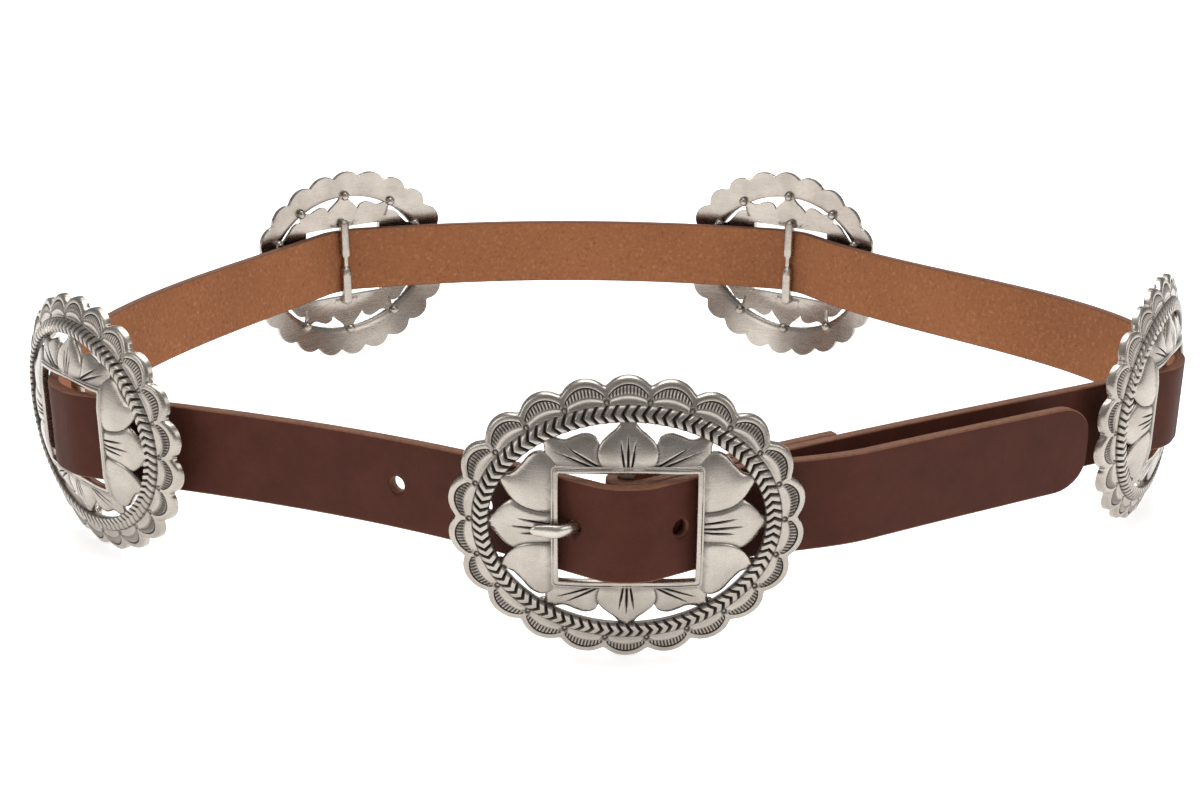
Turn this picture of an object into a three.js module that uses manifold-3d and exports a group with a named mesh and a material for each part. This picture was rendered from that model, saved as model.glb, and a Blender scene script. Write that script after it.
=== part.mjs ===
// A concho belt, buckled into its loop and standing on the lower edges of its plates.
// One leather strap folds round the buckle's bar, runs through four cast oval plates and comes back
// through the buckle, where the prong holds it. Millimetres, +Z up.
import * as THREE from "three";
import { mergeVertices } from "three/addons/utils/BufferGeometryUtils.js";
import Module from "manifold-3d";

const wasm = await Module();
wasm.setup();

// Gap between pieces that touch, and between two layers of the strap
const CLEAR = 0.3;

// Leather strap
const STRAP = {
  width: 25.4,
  thick: 3,
  flap: 68, // folded back round the buckle's bar, along the leather
  tip: 146, // free end, from the bar along the leather
  stand: 8.4, // how far the free end stands off the run behind it
  taper: 11, // length in which the end rounds off
  blunt: 0.3, // share of the width left at the very end
};

// Adjusting holes: one row, with the prong's own hole offset from the bar and others on each side
const HOLE = { diameter: 4.8, pitch: 27.8, offset: 13.9, before: 2, after: 2, sides: 10 };

// Slot in the fold that lets the prong through, with its spare length beyond the hook
const SLOT = { height: 4, spare: 1.2 };

// Cast plate, seen from its front: a scalloped oval ring round twelve petals and a window
const PLATE = {
  halfWidth: 45.8,
  halfHeight: 38.1,
  thick: 2.2, // from the frame's and the ring's front to the common back
  lobes: 22,
  notch: 2.6, // depth of the notch between two lobes
  ring: 10.8, // from the lobes' tops to the ring's inner edge
  rope: 4.2, // raised rope band along the inner edge
  ropeRise: 0.8,
  dropSide: 9, // how far the dome falls at its left and right ends
  dropTop: 5.5, // and at its top and bottom
  flat: 0.46, // share of the way out that stays flat
  fall: 1.3, // power of the fall after it
};

// Petals: their fronts below the frame's, and how far they run under it
const PETAL = { sink: 0.6, middleSink: 0.25, rooted: 1 };

// Window that the strap runs through, with its raised frame
const WINDOW = { halfWidth: 17.3, halfHeight: 14.5, frame: 1.4 };

// Upright bar behind the window, with a neck that the prong hangs on
const BAR = {
  width: 3.9,
  thick: 3,
  sink: 1.6, // its front below the frame's front
  seat: 3.3, // its length on the plate, above and below the window
  chamfer: 0.9,
  neckWidth: 2.1,
  neckChamfer: 0.63,
  neckCorner: 1.22, // from the neck's middle to its outermost corner
  neckHeight: 3.6,
  neckRamp: 1,
};

// Round bosses on the back, where the petals meet the ring
const BOSS = { diameter: 3.9, sunk: 0.3 };

// Prong: a round wire that hooks round the bar's neck and lies on the frame
const PRONG = {
  diameter: 2.8,
  low: 5.7, // from the bar's middle to where it leaves the back of the strap
  reach: 24.5, // to its tip
  tipDrop: 0.77, // its tip towards the petal from where it lies on the frame
  sides: 8,
  steps: 18,
};

// Angles of the hook's points round the neck, in degrees
const HOOK_TURNS = [60, 90, 137.5, 180, 223.5, 270];

// The prong's points by its hole, on from it and behind it, in radii of the wire
const THROUGH = [
  { on: -2, behind: 1.65 },
  { on: 0, behind: 0 },
  { on: 1.6, behind: -1.45 },
];

// Rivet that holds the fold closed, hidden behind the buckle
const RIVET = { from: 41, shank: 4, head: 7, headThick: 1, sides: 8 };

// How the strap turns at a bar: a flat over the bar, then an arc on each side
const TURN = { core: 6.7, concho: 16, flat: 2, foldFlat: 0.5, overFlat: 1, pass: 0.6, past: 2 };

// The loop, from its middle out to the buckle and to the plate at its right
const LOOP = { halfWidth: 171, halfDepth: 141.3 };

// Where each plate stands in the plan, as shares of the loop's half width and half depth, and the
// way that the strap runs there, counterclockwise in degrees. extra is the turn beyond what just
// clears the window, and lift is how far the springy leather stands off that plate's bar.
const PLACES = [
  { name: "buckle", across: 0.012, deep: -1, way: 0.5, extra: 2 },
  { name: "concho_right", across: 1, deep: -0.265, way: 60, extra: 0, lift: 1.5 },
  { name: "concho_back_right", across: 0.4345, deep: 0.991, way: 142.5, extra: 3, lift: 0 },
  { name: "concho_back_left", across: -0.655, deep: 0.957, way: 220.5, extra: 3, lift: 0 },
  { name: "concho_left", across: -0.93, deep: -0.488, way: 313, extra: 0, lift: 1.5 },
].map(({ across, deep, ...rest }) => ({
  ...rest,
  x: across * LOOP.halfWidth,
  y: deep * LOOP.halfDepth,
}));

// Sampling of the strap's line
const ARC_STEP = THREE.MathUtils.degToRad(15);
const SPAN_STEPS = 8;
const SPAN_PULL = 0.36;
const LAYER_STEP = 8;
const LOBE_STATIONS = 4;
const MERGE = 1e-5;

// Lengths in which the flap closes on the run, and the free end opens from it
const CLOSE_OVER = 12;
const OPEN_OVER = 46;

// Where the free end's rounding is cut into steps, as shares of it left to the tip
const TAPER_SHARES = [0.75, 0.5, 0.25, 0.1, 0];

// Outlines of the petals in one quarter of the plate, from the frame outwards, as shares of the
// ring's inner half width and half height. A tip past 1 is rooted in the ring.
const TOP_MIDDLE = [
  { x: 0.219, y: 0.68 },
  { x: 0.19, y: 0.81 },
  { x: 0.078, y: 0.925 },
  { x: 0.035, y: 1.08 },
];
const TOP_SIDE = [
  { x: 0.19, y: 0.8 },
  { x: 0.29, y: 0.88 },
  { x: 0.37, y: 0.87 },
  { x: 0.45, y: 0.835 },
  { x: 0.52, y: 0.84 },
  { x: 0.63, y: 0.92 },
  { x: 0.6, y: 0.78 },
];
const SIDE_UPPER = [
  { x: 0.775, y: 0.218 },
  { x: 0.9, y: 0.38 },
  { x: 0.98, y: 0.51 },
  { x: 0.83, y: 0.535 },
  { x: 0.74, y: 0.63 },
  { x: 0.65, y: 0.675 },
];
const SIDE_MIDDLE = [
  { x: 0.78, y: 0.214 },
  { x: 0.86, y: 0.2 },
  { x: 0.94, y: 0.12 },
  { x: 1.07, y: 0.02 },
];

// Where the petals' tips meet the ring, in one quarter
const TIPS = [
  { x: 0, y: 1.02 },
  { x: 0.6, y: 0.85 },
  { x: 0.92, y: 0.46 },
  { x: 1.02, y: 0 },
];

// Widths of the petals where they leave the frame, as shares of their widest
const ROOT_SHARE = { top: 0.8, side: 0.65, under: 0.8 };

const SILVER = new THREE.MeshStandardMaterial({ color: 0xb9b1a4, roughness: 0.35, metalness: 1 });
const LEATHER = new THREE.MeshStandardMaterial({ color: 0x4b2e29, roughness: 0.6, metalness: 0 });

// Solids

// A manifold solid from a closed geometry, turned to face out
function solid(geometry) {
  const bare = geometry.clone();
  bare.deleteAttribute("normal");
  bare.deleteAttribute("uv");
  const merged = mergeVertices(bare, MERGE);
  const triVerts = new Uint32Array(merged.index.array);
  const vertProperties = merged.attributes.position.array;
  const made = new wasm.Manifold(new wasm.Mesh({ numProp: 3, vertProperties, triVerts }));
  if (made.volume() > 0) return made;
  const turned = triVerts.map((v, i) => triVerts[i - (i % 3) + (2 - (i % 3))]);
  return new wasm.Manifold(new wasm.Mesh({ numProp: 3, vertProperties, triVerts: turned }));
}

// The surface of a manifold solid as a geometry
function surface(made) {
  const { vertProperties, triVerts } = made.getMesh();
  const geometry = new THREE.BufferGeometry();
  geometry.setAttribute("position", new THREE.BufferAttribute(new Float32Array(vertProperties), 3));
  geometry.setIndex(new THREE.BufferAttribute(new Uint32Array(triVerts), 1));
  return geometry;
}

function piece(name, geometry, material) {
  const mesh = new THREE.Mesh(geometry, material);
  mesh.name = name;
  return mesh;
}

// Rings of equally many points joined one to the next, with convex end caps unless they close up
function loft(rings, closed = false) {
  const sides = rings[0].length;
  const index = [];
  const last = closed ? rings.length : rings.length - 1;
  for (let r = 0; r < last; r++) {
    const here = r * sides;
    const next = ((r + 1) % rings.length) * sides;
    for (let i = 0; i < sides; i++) {
      const j = (i + 1) % sides;
      index.push(here + i, here + j, next + j, here + i, next + j, next + i);
    }
  }
  if (!closed) {
    const end = (rings.length - 1) * sides;
    for (let i = 1; i < sides - 1; i++) {
      index.push(0, i + 1, i, end, end + i, end + i + 1);
    }
  }
  const geometry = new THREE.BufferGeometry().setFromPoints(rings.flat());
  geometry.setIndex(index);
  return geometry;
}

// Cast plate, worked out flat with its front at height 0, then bent to its dome

// Fall of the dome at a point of the plate, 0 round the window
function dome(x, y) {
  const side = x / PLATE.halfWidth;
  const up = y / PLATE.halfHeight;
  const out = Math.hypot(side, up);
  if (out <= PLATE.flat) return 0;
  const drop = (PLATE.dropSide * side ** 2 + PLATE.dropTop * up ** 2) / out ** 2;
  return drop * ((out - PLATE.flat) / (1 - PLATE.flat)) ** PLATE.fall;
}

// A flat shape as a wall from the common back up to a front at the given depth
function wall(shape, sink) {
  const depth = PLATE.thick - sink;
  const geometry = new THREE.ExtrudeGeometry(shape, { depth, bevelEnabled: false });
  return solid(geometry.translate(0, 0, -PLATE.thick));
}

// The scalloped ring: a few stations to a lobe, each a profile from the rim over the rope band
function ring() {
  const rim = new THREE.EllipseCurve(0, 0, PLATE.halfWidth, PLATE.halfHeight);
  const stations = PLATE.lobes * LOBE_STATIONS;
  const land = PLATE.ring - PLATE.rope;
  const rings = Array.from({ length: stations }, (_, k) => {
    const spot = rim.getPointAt(k / stations);
    const normal = new THREE.Vector2(
      spot.x / PLATE.halfWidth ** 2,
      spot.y / PLATE.halfHeight ** 2,
    ).normalize();
    const across = (2 * (k % LOBE_STATIONS)) / LOBE_STATIONS - 1;
    const edge = PLATE.notch * across ** 2;
    const profile = [
      { inside: edge, height: 0 },
      { inside: land, height: 0 },
      { inside: land + PLATE.rope / 2, height: PLATE.ropeRise },
      { inside: PLATE.ring, height: -PLATE.thick },
      { inside: edge, height: -PLATE.thick },
    ];
    return profile.map(
      ({ inside, height }) =>
        new THREE.Vector3(spot.x - inside * normal.x, spot.y - inside * normal.y, height),
    );
  });
  return solid(loft(rings, true));
}

const INNER = { x: PLATE.halfWidth - PLATE.ring, y: PLATE.halfHeight - PLATE.ring };
const ROOT = {
  x: WINDOW.halfWidth + WINDOW.frame - PETAL.rooted,
  y: WINDOW.halfHeight + WINDOW.frame - PETAL.rooted,
};

const scaled = (outline) => outline.map(({ x, y }) => ({ x: x * INNER.x, y: y * INNER.y }));

// A petal from its outline, with the two signs that put it in its quarter
function petal(outline, signX, signY, sink) {
  const shape = new THREE.Shape(outline.map(({ x, y }) => new THREE.Vector2(signX * x, signY * y)));
  return wall(shape, sink);
}

// Twelve petals: three to a side, the middle one raised over its neighbours
function petals() {
  const topMiddle = scaled(TOP_MIDDLE);
  const sideMiddle = scaled(SIDE_MIDDLE);
  const rootTop = topMiddle[0].x * ROOT_SHARE.top;
  const rootSide = sideMiddle[0].y * ROOT_SHARE.side;
  const topHalf = [{ x: rootTop, y: ROOT.y }, ...topMiddle];
  const sideHalf = [{ x: ROOT.x, y: rootSide }, ...sideMiddle];
  const top = [...topHalf, ...topHalf.map(({ x, y }) => ({ x: -x, y })).reverse()];
  const side = [...sideHalf, ...sideHalf.map(({ x, y }) => ({ x, y: -y })).reverse()];
  const topSide = [
    { x: rootTop * ROOT_SHARE.under, y: ROOT.y },
    ...scaled(TOP_SIDE),
    { x: ROOT.x + PETAL.rooted, y: ROOT.y },
  ];
  const sideUpper = [
    { x: ROOT.x, y: rootSide * ROOT_SHARE.under },
    ...scaled(SIDE_UPPER),
    { x: ROOT.x, y: ROOT.y + PETAL.rooted },
  ];
  const made = [];
  for (const sign of [1, -1]) {
    made.push(petal(top, 1, sign, PETAL.middleSink), petal(side, sign, 1, PETAL.middleSink));
    for (const other of [1, -1]) {
      made.push(petal(topSide, sign, other, PETAL.sink), petal(sideUpper, sign, other, PETAL.sink));
    }
  }
  return made;
}

// Raised frame round the window
function frame() {
  const rectangle = (w, h) => [
    new THREE.Vector2(-w, -h),
    new THREE.Vector2(w, -h),
    new THREE.Vector2(w, h),
    new THREE.Vector2(-w, h),
  ];
  const { halfWidth, halfHeight } = WINDOW;
  const shape = new THREE.Shape(rectangle(halfWidth + WINDOW.frame, halfHeight + WINDOW.frame));
  shape.holes.push(new THREE.Path(rectangle(halfWidth, halfHeight)));
  return wall(shape, 0);
}

const BAR_MIDDLE = -BAR.sink - BAR.thick / 2;

// Upright bar: eight-sided sections, narrowed to the neck at its middle
function bar() {
  const section = (y, width, thick, chamfer) => {
    const w = width / 2;
    const t = thick / 2;
    const corners = [
      { x: w, z: t - chamfer },
      { x: w - chamfer, z: t },
      { x: chamfer - w, z: t },
      { x: -w, z: t - chamfer },
      { x: -w, z: chamfer - t },
      { x: chamfer - w, z: -t },
      { x: w - chamfer, z: -t },
      { x: w, z: chamfer - t },
    ];
    return corners.map(({ x, z }) => new THREE.Vector3(x, y, BAR_MIDDLE + z));
  };
  const full = (y) => section(y, BAR.width, BAR.thick, BAR.chamfer);
  const neck = (y) => section(y, BAR.neckWidth, BAR.neckWidth, BAR.neckChamfer);
  const end = WINDOW.halfHeight + BAR.seat;
  const narrow = BAR.neckHeight / 2;
  const wide = narrow + BAR.neckRamp;
  return solid(loft([full(-end), full(-wide), neck(-narrow), neck(narrow), full(wide), full(end)]));
}

// Bosses where the twelve petal tips meet the ring
function bosses() {
  const quarters = [1, -1].flatMap((x) => [1, -1].map((y) => ({ x, y })));
  const spots = scaled(TIPS).flatMap(({ x, y }) =>
    quarters
      .filter((sign) => (x > 0 || sign.x > 0) && (y > 0 || sign.y > 0))
      .map((sign) => ({ x: x * sign.x, y: y * sign.y })),
  );
  return spots.map(({ x, y }) => {
    const ball = new THREE.OctahedronGeometry(BOSS.diameter / 2);
    return solid(ball.translate(x, y, -PLATE.thick - BOSS.sunk));
  });
}

// One plate, with x along the strap, y towards the wearer and z up
function castPlate() {
  const flat = surface(wasm.Manifold.union([ring(), ...petals(), frame(), bar(), ...bosses()]));
  const spots = flat.getAttribute("position");
  for (let i = 0; i < spots.count; i++) {
    spots.setZ(i, spots.getZ(i) - dome(spots.getX(i), spots.getY(i)));
  }
  return flat.rotateX(Math.PI / 2);
}

// Strap line in the plan

const pose = (x, y, turn) => ({ x, y, turn });

// A pose in a plate's own frame, put in the plan
function planPose(place, { x, y, turn }) {
  const way = THREE.MathUtils.degToRad(place.way);
  const c = Math.cos(way);
  const s = Math.sin(way);
  return pose(place.x + c * x - s * y, place.y + s * x + c * y, way + turn);
}

function ahead(start, length) {
  const { x, y, turn } = start;
  return pose(x + length * Math.cos(turn), y + length * Math.sin(turn), turn);
}

// Poses after the start along an arc that turns left
function arc(start, radius, turn) {
  const steps = Math.ceil(turn / ARC_STEP);
  return Array.from({ length: steps }, (_, i) => {
    const now = start.turn + (turn * (i + 1)) / steps;
    const x = start.x + radius * (Math.sin(now) - Math.sin(start.turn));
    const y = start.y + radius * (Math.cos(start.turn) - Math.cos(now));
    return pose(x, y, now);
  });
}

// Poses between two others along a cubic curve that leaves and arrives on their lines
function span(start, end) {
  const pull = SPAN_PULL * Math.hypot(end.x - start.x, end.y - start.y);
  const out = ahead(start, pull);
  const into = ahead(end, -pull);
  const curve = new THREE.CubicBezierCurve(
    new THREE.Vector2(start.x, start.y),
    new THREE.Vector2(out.x, out.y),
    new THREE.Vector2(into.x, into.y),
    new THREE.Vector2(end.x, end.y),
  );
  return Array.from({ length: SPAN_STEPS - 1 }, (_, i) => {
    const { x, y } = curve.getPoint((i + 1) / SPAN_STEPS);
    const way = curve.getTangent((i + 1) / SPAN_STEPS);
    return pose(x, y, Math.atan2(way.y, way.x));
  });
}

// The least turn that takes a layer's outer face past the window's back edge
function turnPast(layer, flat, radius) {
  const outer = radius + STRAP.thick / 2;
  const across = WINDOW.halfWidth - flat;
  const deep = layer + radius - PLATE.thick;
  return Math.atan2(across, deep) - Math.acos((outer + TURN.pass) / Math.hypot(across, deep));
}

// Half of a crossing: flat over the bar, an arc, and straight on past the window's edge
function halfCrossing(layer, flat, radius, turn) {
  const start = pose(flat, layer, 0);
  const bend = [start, ...arc(start, radius, turn)];
  const last = bend.at(-1);
  const edge = WINDOW.halfWidth + TURN.past;
  return [...bend, ahead(last, (edge - last.x) / Math.cos(turn))];
}

const mirrored = (poses) => poses.map(({ x, y, turn }) => pose(-x, y, -turn)).reverse();
const extraTurn = (place) => THREE.MathUtils.degToRad(place.extra);

// Layers at the bar, as distances towards the wearer from the frame's front
const NEAR_LAYER = BAR.sink - CLEAR - STRAP.thick / 2;
const OVER_LAYER = NEAR_LAYER - STRAP.thick - CLEAR;
const NEAR_RADIUS = TURN.core + STRAP.thick / 2;
const OVER_RADIUS = NEAR_RADIUS + STRAP.thick + CLEAR;
const FOLD_RADIUS = BAR.thick / 2 + CLEAR + STRAP.thick / 2;
const FOLD_AT = FOLD_RADIUS - STRAP.thick / 2 - BAR.width / 2 - 2 * CLEAR;

function conchoCrossing(place) {
  const layer = NEAR_LAYER - place.lift;
  const least = turnPast(layer, TURN.flat, TURN.concho);
  const half = halfCrossing(layer, TURN.flat, TURN.concho, least + extraTurn(place));
  return [...mirrored(half), ...half].map((p) => planPose(place, p));
}

const [buckle, ...conchos] = PLACES;
const foldTurn = turnPast(OVER_LAYER, TURN.foldFlat, OVER_RADIUS) + extraTurn(buckle);
const overTurn = turnPast(OVER_LAYER, TURN.overFlat, OVER_RADIUS) + extraTurn(buckle);

// Run of the strap from its fold, round the four plates and back to the buckle's left side
function outerRun() {
  const leave = halfCrossing(NEAR_LAYER, TURN.foldFlat, NEAR_RADIUS, foldTurn);
  const arrive = mirrored(halfCrossing(OVER_LAYER, TURN.overFlat, OVER_RADIUS, overTurn));
  const stretches = [
    [pose(FOLD_AT, NEAR_LAYER, 0), ...leave].map((p) => planPose(buckle, p)),
    ...conchos.map(conchoCrossing),
    arrive.map((p) => planPose(buckle, p)),
  ];
  return stretches.flatMap((stretch, i) => {
    const next = stretches[i + 1];
    return next ? [...stretch, ...span(stretch.at(-1), next[0])] : stretch;
  });
}

// Distance along a line of poses
function measured(poses) {
  let run = 0;
  return poses.map((p, i) => {
    const before = poses[Math.max(i - 1, 0)];
    run += Math.hypot(p.x - before.x, p.y - before.y);
    return { ...p, run };
  });
}

// Pose at a distance along a measured line
function at(line, run) {
  const found = line.findIndex((p) => p.run > run);
  const i = found < 0 ? line.length - 1 : Math.max(found, 1);
  const a = line[i - 1];
  const b = line[i];
  const share = (run - a.run) / (b.run - a.run);
  const mix = (p, q) => p + (q - p) * share;
  return { x: mix(a.x, b.x), y: mix(a.y, b.y), turn: mix(a.turn, b.turn), run };
}

// Stretch of a measured line between two distances
function stretch(line, from, to) {
  const inside = line.filter((p) => p.run > from && p.run < to);
  return [at(line, from), ...inside, at(line, to)];
}

// A second layer beside the outer run, at an offset that changes along it, to the right if above 0
function beside(line, marks, offset) {
  return marks.map((run) => {
    const { x, y, turn } = at(line, run);
    return pose(x + offset(run) * Math.sin(turn), y - offset(run) * Math.cos(turn), turn);
  });
}

// Distances at which a second layer is worked out: the bend's own poses, then even steps
function layerMarks(line, bendEnd, last) {
  const bend = line.map((p) => p.run).filter((run) => run <= bendEnd);
  const steps = Math.ceil((last - bendEnd) / LAYER_STEP);
  const step = (last - bendEnd) / steps;
  return [...bend, ...Array.from({ length: steps }, (_, i) => bendEnd + (i + 1) * step)];
}

const outer = measured(outerRun());
const layerGap = STRAP.thick + CLEAR;
const bendEnd = TURN.foldFlat - FOLD_AT + NEAR_RADIUS * foldTurn;
const windowEnd = (WINDOW.halfWidth + TURN.past) / Math.cos(foldTurn);

// The flap hugs the run once it has passed the bar
function flapLine() {
  const offset = (run) => {
    const closed = THREE.MathUtils.smoothstep(run, bendEnd, bendEnd + CLOSE_OVER);
    return THREE.MathUtils.lerp(-2 * FOLD_RADIUS, -layerGap, closed);
  };
  return beside(outer, layerMarks(outer, bendEnd, STRAP.flap), offset).reverse();
}

// The free end lies on the run over the bar, and stands off it past the window
function tipLine() {
  const offset = (run) =>
    layerGap + STRAP.stand * THREE.MathUtils.smoothstep(run, windowEnd, windowEnd + OPEN_OVER);
  const last = STRAP.tip - FOLD_AT;
  const marks = layerMarks(outer, bendEnd, last - STRAP.taper).filter((run) => run > -FOLD_AT);
  return beside(outer, [...marks, ...TAPER_SHARES.map((share) => last - share * STRAP.taper)], offset);
}

// Radius of the prong's hook, and the length of fold that it needs open on each side of the middle
const WIRE = PRONG.diameter / 2;
const HOOK = BAR.neckCorner + CLEAR + WIRE;
const slotHalf = (Math.PI / 2) * FOLD_RADIUS - FOLD_AT + HOOK + WIRE + SLOT.spare;

const foldStart = planPose(buckle, pose(FOLD_AT, NEAR_LAYER + 2 * FOLD_RADIUS, Math.PI));
const flap = flapLine();
const fold = arc(foldStart, FOLD_RADIUS, Math.PI).slice(0, -1);
const strapLine = measured([...flap, ...fold, ...outer, ...tipLine()]);
const strapEnd = strapLine.at(-1).run;
const foldMiddle = measured(flap).at(-1).run + (Math.PI / 2) * FOLD_RADIUS;
const overBar = strapLine.at(flap.length + fold.length + outer.length - 1).run + TURN.overFlat;

// A wall of leather along a line: four corners at each pose, square to the line
function ribbon(line, thick, halfHeight) {
  const rings = line.map((p, i) => {
    const before = line[Math.max(i - 1, 0)];
    const after = line[Math.min(i + 1, line.length - 1)];
    const way = Math.atan2(after.y - before.y, after.x - before.x);
    const x = (Math.sin(way) * thick) / 2;
    const y = (-Math.cos(way) * thick) / 2;
    const h = halfHeight(p.run);
    return [
      new THREE.Vector3(p.x - x, p.y - y, -h),
      new THREE.Vector3(p.x - x, p.y - y, h),
      new THREE.Vector3(p.x + x, p.y + y, h),
      new THREE.Vector3(p.x + x, p.y + y, -h),
    ];
  });
  return solid(loft(rings));
}

// Half height of the strap, rounded off at its free end
function strapHalf(run) {
  const left = Math.min((strapEnd - run) / STRAP.taper, 1);
  const round = Math.sqrt(1 - (1 - left) ** 2);
  return (STRAP.width / 2) * (STRAP.blunt + (1 - STRAP.blunt) * round);
}

// A round pin square through the strap's wall, for holes and for the rivet
function across(spot, diameter, length, sides) {
  const pin = new THREE.CylinderGeometry(diameter / 2, diameter / 2, length, sides);
  return solid(pin.rotateZ(spot.turn).translate(spot.x, spot.y, 0));
}

function strap() {
  const leather = ribbon(strapLine, STRAP.thick, strapHalf);
  const slotLine = stretch(strapLine, foldMiddle - slotHalf, foldMiddle + slotHalf);
  const slot = ribbon(slotLine, STRAP.thick + CLEAR / 2, () => SLOT.height / 2);
  const holes = Array.from({ length: HOLE.before + 1 + HOLE.after }, (_, i) => {
    const spot = at(strapLine, overBar - HOLE.offset + (i - HOLE.before) * HOLE.pitch);
    return across(spot, HOLE.diameter, STRAP.thick + CLEAR, HOLE.sides);
  });
  const rivetHoles = across(rivetSpot, RIVET.shank + 2 * CLEAR, rivetGrip + CLEAR, RIVET.sides);
  return wasm.Manifold.difference([leather, slot, rivetHoles, ...holes]);
}

// Rivet through the fold: a shank and two heads, as one solid
const rivetGrip = 2 * STRAP.thick + CLEAR;
const [rivetSpot] = beside(outer, [RIVET.from], () => -layerGap / 2);
function rivet() {
  const shank = across(rivetSpot, RIVET.shank, rivetGrip + 2 * CLEAR + RIVET.headThick, RIVET.sides);
  const seat = rivetGrip / 2 + CLEAR + RIVET.headThick / 2;
  const heads = [seat, -seat].map((side) => {
    const { x, y, turn } = rivetSpot;
    const spot = pose(x + side * Math.sin(turn), y - side * Math.cos(turn), turn);
    return across(spot, RIVET.head, RIVET.headThick, RIVET.sides);
  });
  return wasm.Manifold.union([shank, ...heads]);
}

// The prong's wire in the buckle's own frame: round the neck, behind the leather, up through its
// hole and down onto the petal
function prong() {
  const middle = -BAR_MIDDLE;
  const hooked = HOOK_TURNS.map((degrees) => {
    const turn = THREE.MathUtils.degToRad(degrees);
    return { x: HOOK * Math.cos(turn), y: middle - HOOK * Math.sin(turn) };
  });
  const bend = arc(pose(TURN.overFlat, OVER_LAYER, 0), OVER_RADIUS, overTurn);
  const hole = ahead(bend.at(-1), HOLE.offset - TURN.overFlat - OVER_RADIUS * overTurn);
  const onFrame = -WIRE - CLEAR;
  const route = [
    { x: PRONG.low, y: middle + HOOK },
    ...THROUGH.map(({ on, behind }) => ({ x: hole.x + on * WIRE, y: hole.y + behind * WIRE })),
    { x: WINDOW.halfWidth, y: onFrame },
    { x: WINDOW.halfWidth + WINDOW.frame, y: onFrame },
    { x: PRONG.reach, y: onFrame + PRONG.tipDrop },
  ];
  const points = [...hooked, ...route].map(({ x, y }) => new THREE.Vector3(-x, y, 0));
  const path = new THREE.CatmullRomCurve3(points, false, "centripetal");
  const section = new THREE.Shape();
  section.absarc(0, 0, WIRE, 0, 2 * Math.PI);
  const geometry = new THREE.ExtrudeGeometry(section, {
    extrudePath: path,
    steps: PRONG.steps,
    curveSegments: PRONG.sides / 2,
    bevelEnabled: false,
  });
  return solid(geometry);
}

// Belt

const belt = new THREE.Group();
const middleHeight = PLATE.halfHeight;

// A piece made in a plate's own frame, put where that plate stands
function placed(mesh, place) {
  mesh.position.set(place.x, place.y, middleHeight);
  mesh.rotation.z = THREE.MathUtils.degToRad(place.way);
  return mesh;
}

const plate = castPlate();
for (const place of PLACES) belt.add(placed(piece(place.name, plate, SILVER), place));
belt.add(placed(piece("buckle_prong", surface(prong()), SILVER), buckle));

const planned = [piece("strap", surface(strap()), LEATHER), piece("fold_rivet", surface(rivet()), SILVER)];
for (const mesh of planned) {
  mesh.position.z = middleHeight;
  belt.add(mesh);
}

// Origin: the middle of the belt's box, on the surface that it stands on
const box = new THREE.Box3().setFromObject(belt, true);
const centre = box.getCenter(new THREE.Vector3());
belt.position.set(-centre.x, -centre.y, -box.min.z);

export default belt;
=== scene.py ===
# %% [markdown]
# # A concho belt
# One leather strap is buckled into a loop. It runs through four cast oval plates, called conchos,
# and the fifth plate is the buckle. The belt stands on the lower lobes of its plates.
# Every piece here is a surface worked out with numpy in the same places as the plain model,
# which is loaded first as a fixed frame.

# %% Load the frame
import math

import bmesh
import bpy
import numpy as np
from mathutils import Matrix


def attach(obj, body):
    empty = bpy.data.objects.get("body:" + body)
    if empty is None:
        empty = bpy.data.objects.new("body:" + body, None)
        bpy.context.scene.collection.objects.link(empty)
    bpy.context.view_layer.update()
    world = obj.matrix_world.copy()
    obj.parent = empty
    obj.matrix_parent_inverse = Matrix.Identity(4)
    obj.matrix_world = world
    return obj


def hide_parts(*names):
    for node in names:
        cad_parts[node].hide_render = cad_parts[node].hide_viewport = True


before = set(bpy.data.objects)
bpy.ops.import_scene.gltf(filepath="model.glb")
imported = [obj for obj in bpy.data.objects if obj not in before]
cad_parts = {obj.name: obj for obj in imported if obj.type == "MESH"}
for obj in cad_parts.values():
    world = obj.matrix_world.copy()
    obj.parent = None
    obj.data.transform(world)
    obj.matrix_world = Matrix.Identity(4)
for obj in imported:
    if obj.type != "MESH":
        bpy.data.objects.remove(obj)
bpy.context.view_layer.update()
print("nodes:", sorted(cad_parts))

# %% [markdown]
# ## Sizes
# The sizes are the plain model's own, in millimetres, so each detailed piece lies over its solid.
# The plan is the belt seen from above, and PLAN_TO_MODEL moves it to the model's origin.

# %% Sizes of the belt
CLEAR = 0.3
STRAP_WIDTH, STRAP_THICK = 25.4, 3.0
FLAP, TIP, STAND, TAPER, BLUNT = 68.0, 146.0, 8.4, 11.0, 0.3
HOLE_DIAMETER, HELD_DIAMETER, HOLE_PITCH, HOLE_OFFSET, HOLES_EACH_SIDE = 4.8, 4.3, 27.8, 13.9, 2
SLOT_HEIGHT, SLOT_SPARE = 4.0, 1.2
PLATE_X, PLATE_Y, PLATE_THICK = 45.8, 38.1, 2.2
LOBES, NOTCH, RING, ROPE, ROPE_RISE = 22, 2.6, 10.8, 4.2, 0.8
DROP_SIDE, DROP_TOP, FLAT, FALL = 9.0, 5.5, 0.46, 1.3
WINDOW_X, WINDOW_Y, WINDOW_FRAME, ROOTED = 17.3, 14.5, 1.4, 1.0
BAR_WIDTH, BAR_THICK, BAR_SINK, BAR_SEAT = 3.9, 3.0, 1.6, 3.3
NECK_WIDTH, NECK_CORNER, NECK_HEIGHT, NECK_RAMP = 2.1, 1.22, 3.6, 1.0
BOSS_DIAMETER, BOSS_SUNK = 3.9, 0.3
WIRE, PRONG_LOW, PRONG_REACH, TIP_DROP = 1.4, 5.7, 24.5, 0.77
RIVET_FROM, RIVET_SHANK, RIVET_HEAD, RIVET_HEAD_THICK = 41.0, 4.0, 7.0, 1.0
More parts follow.
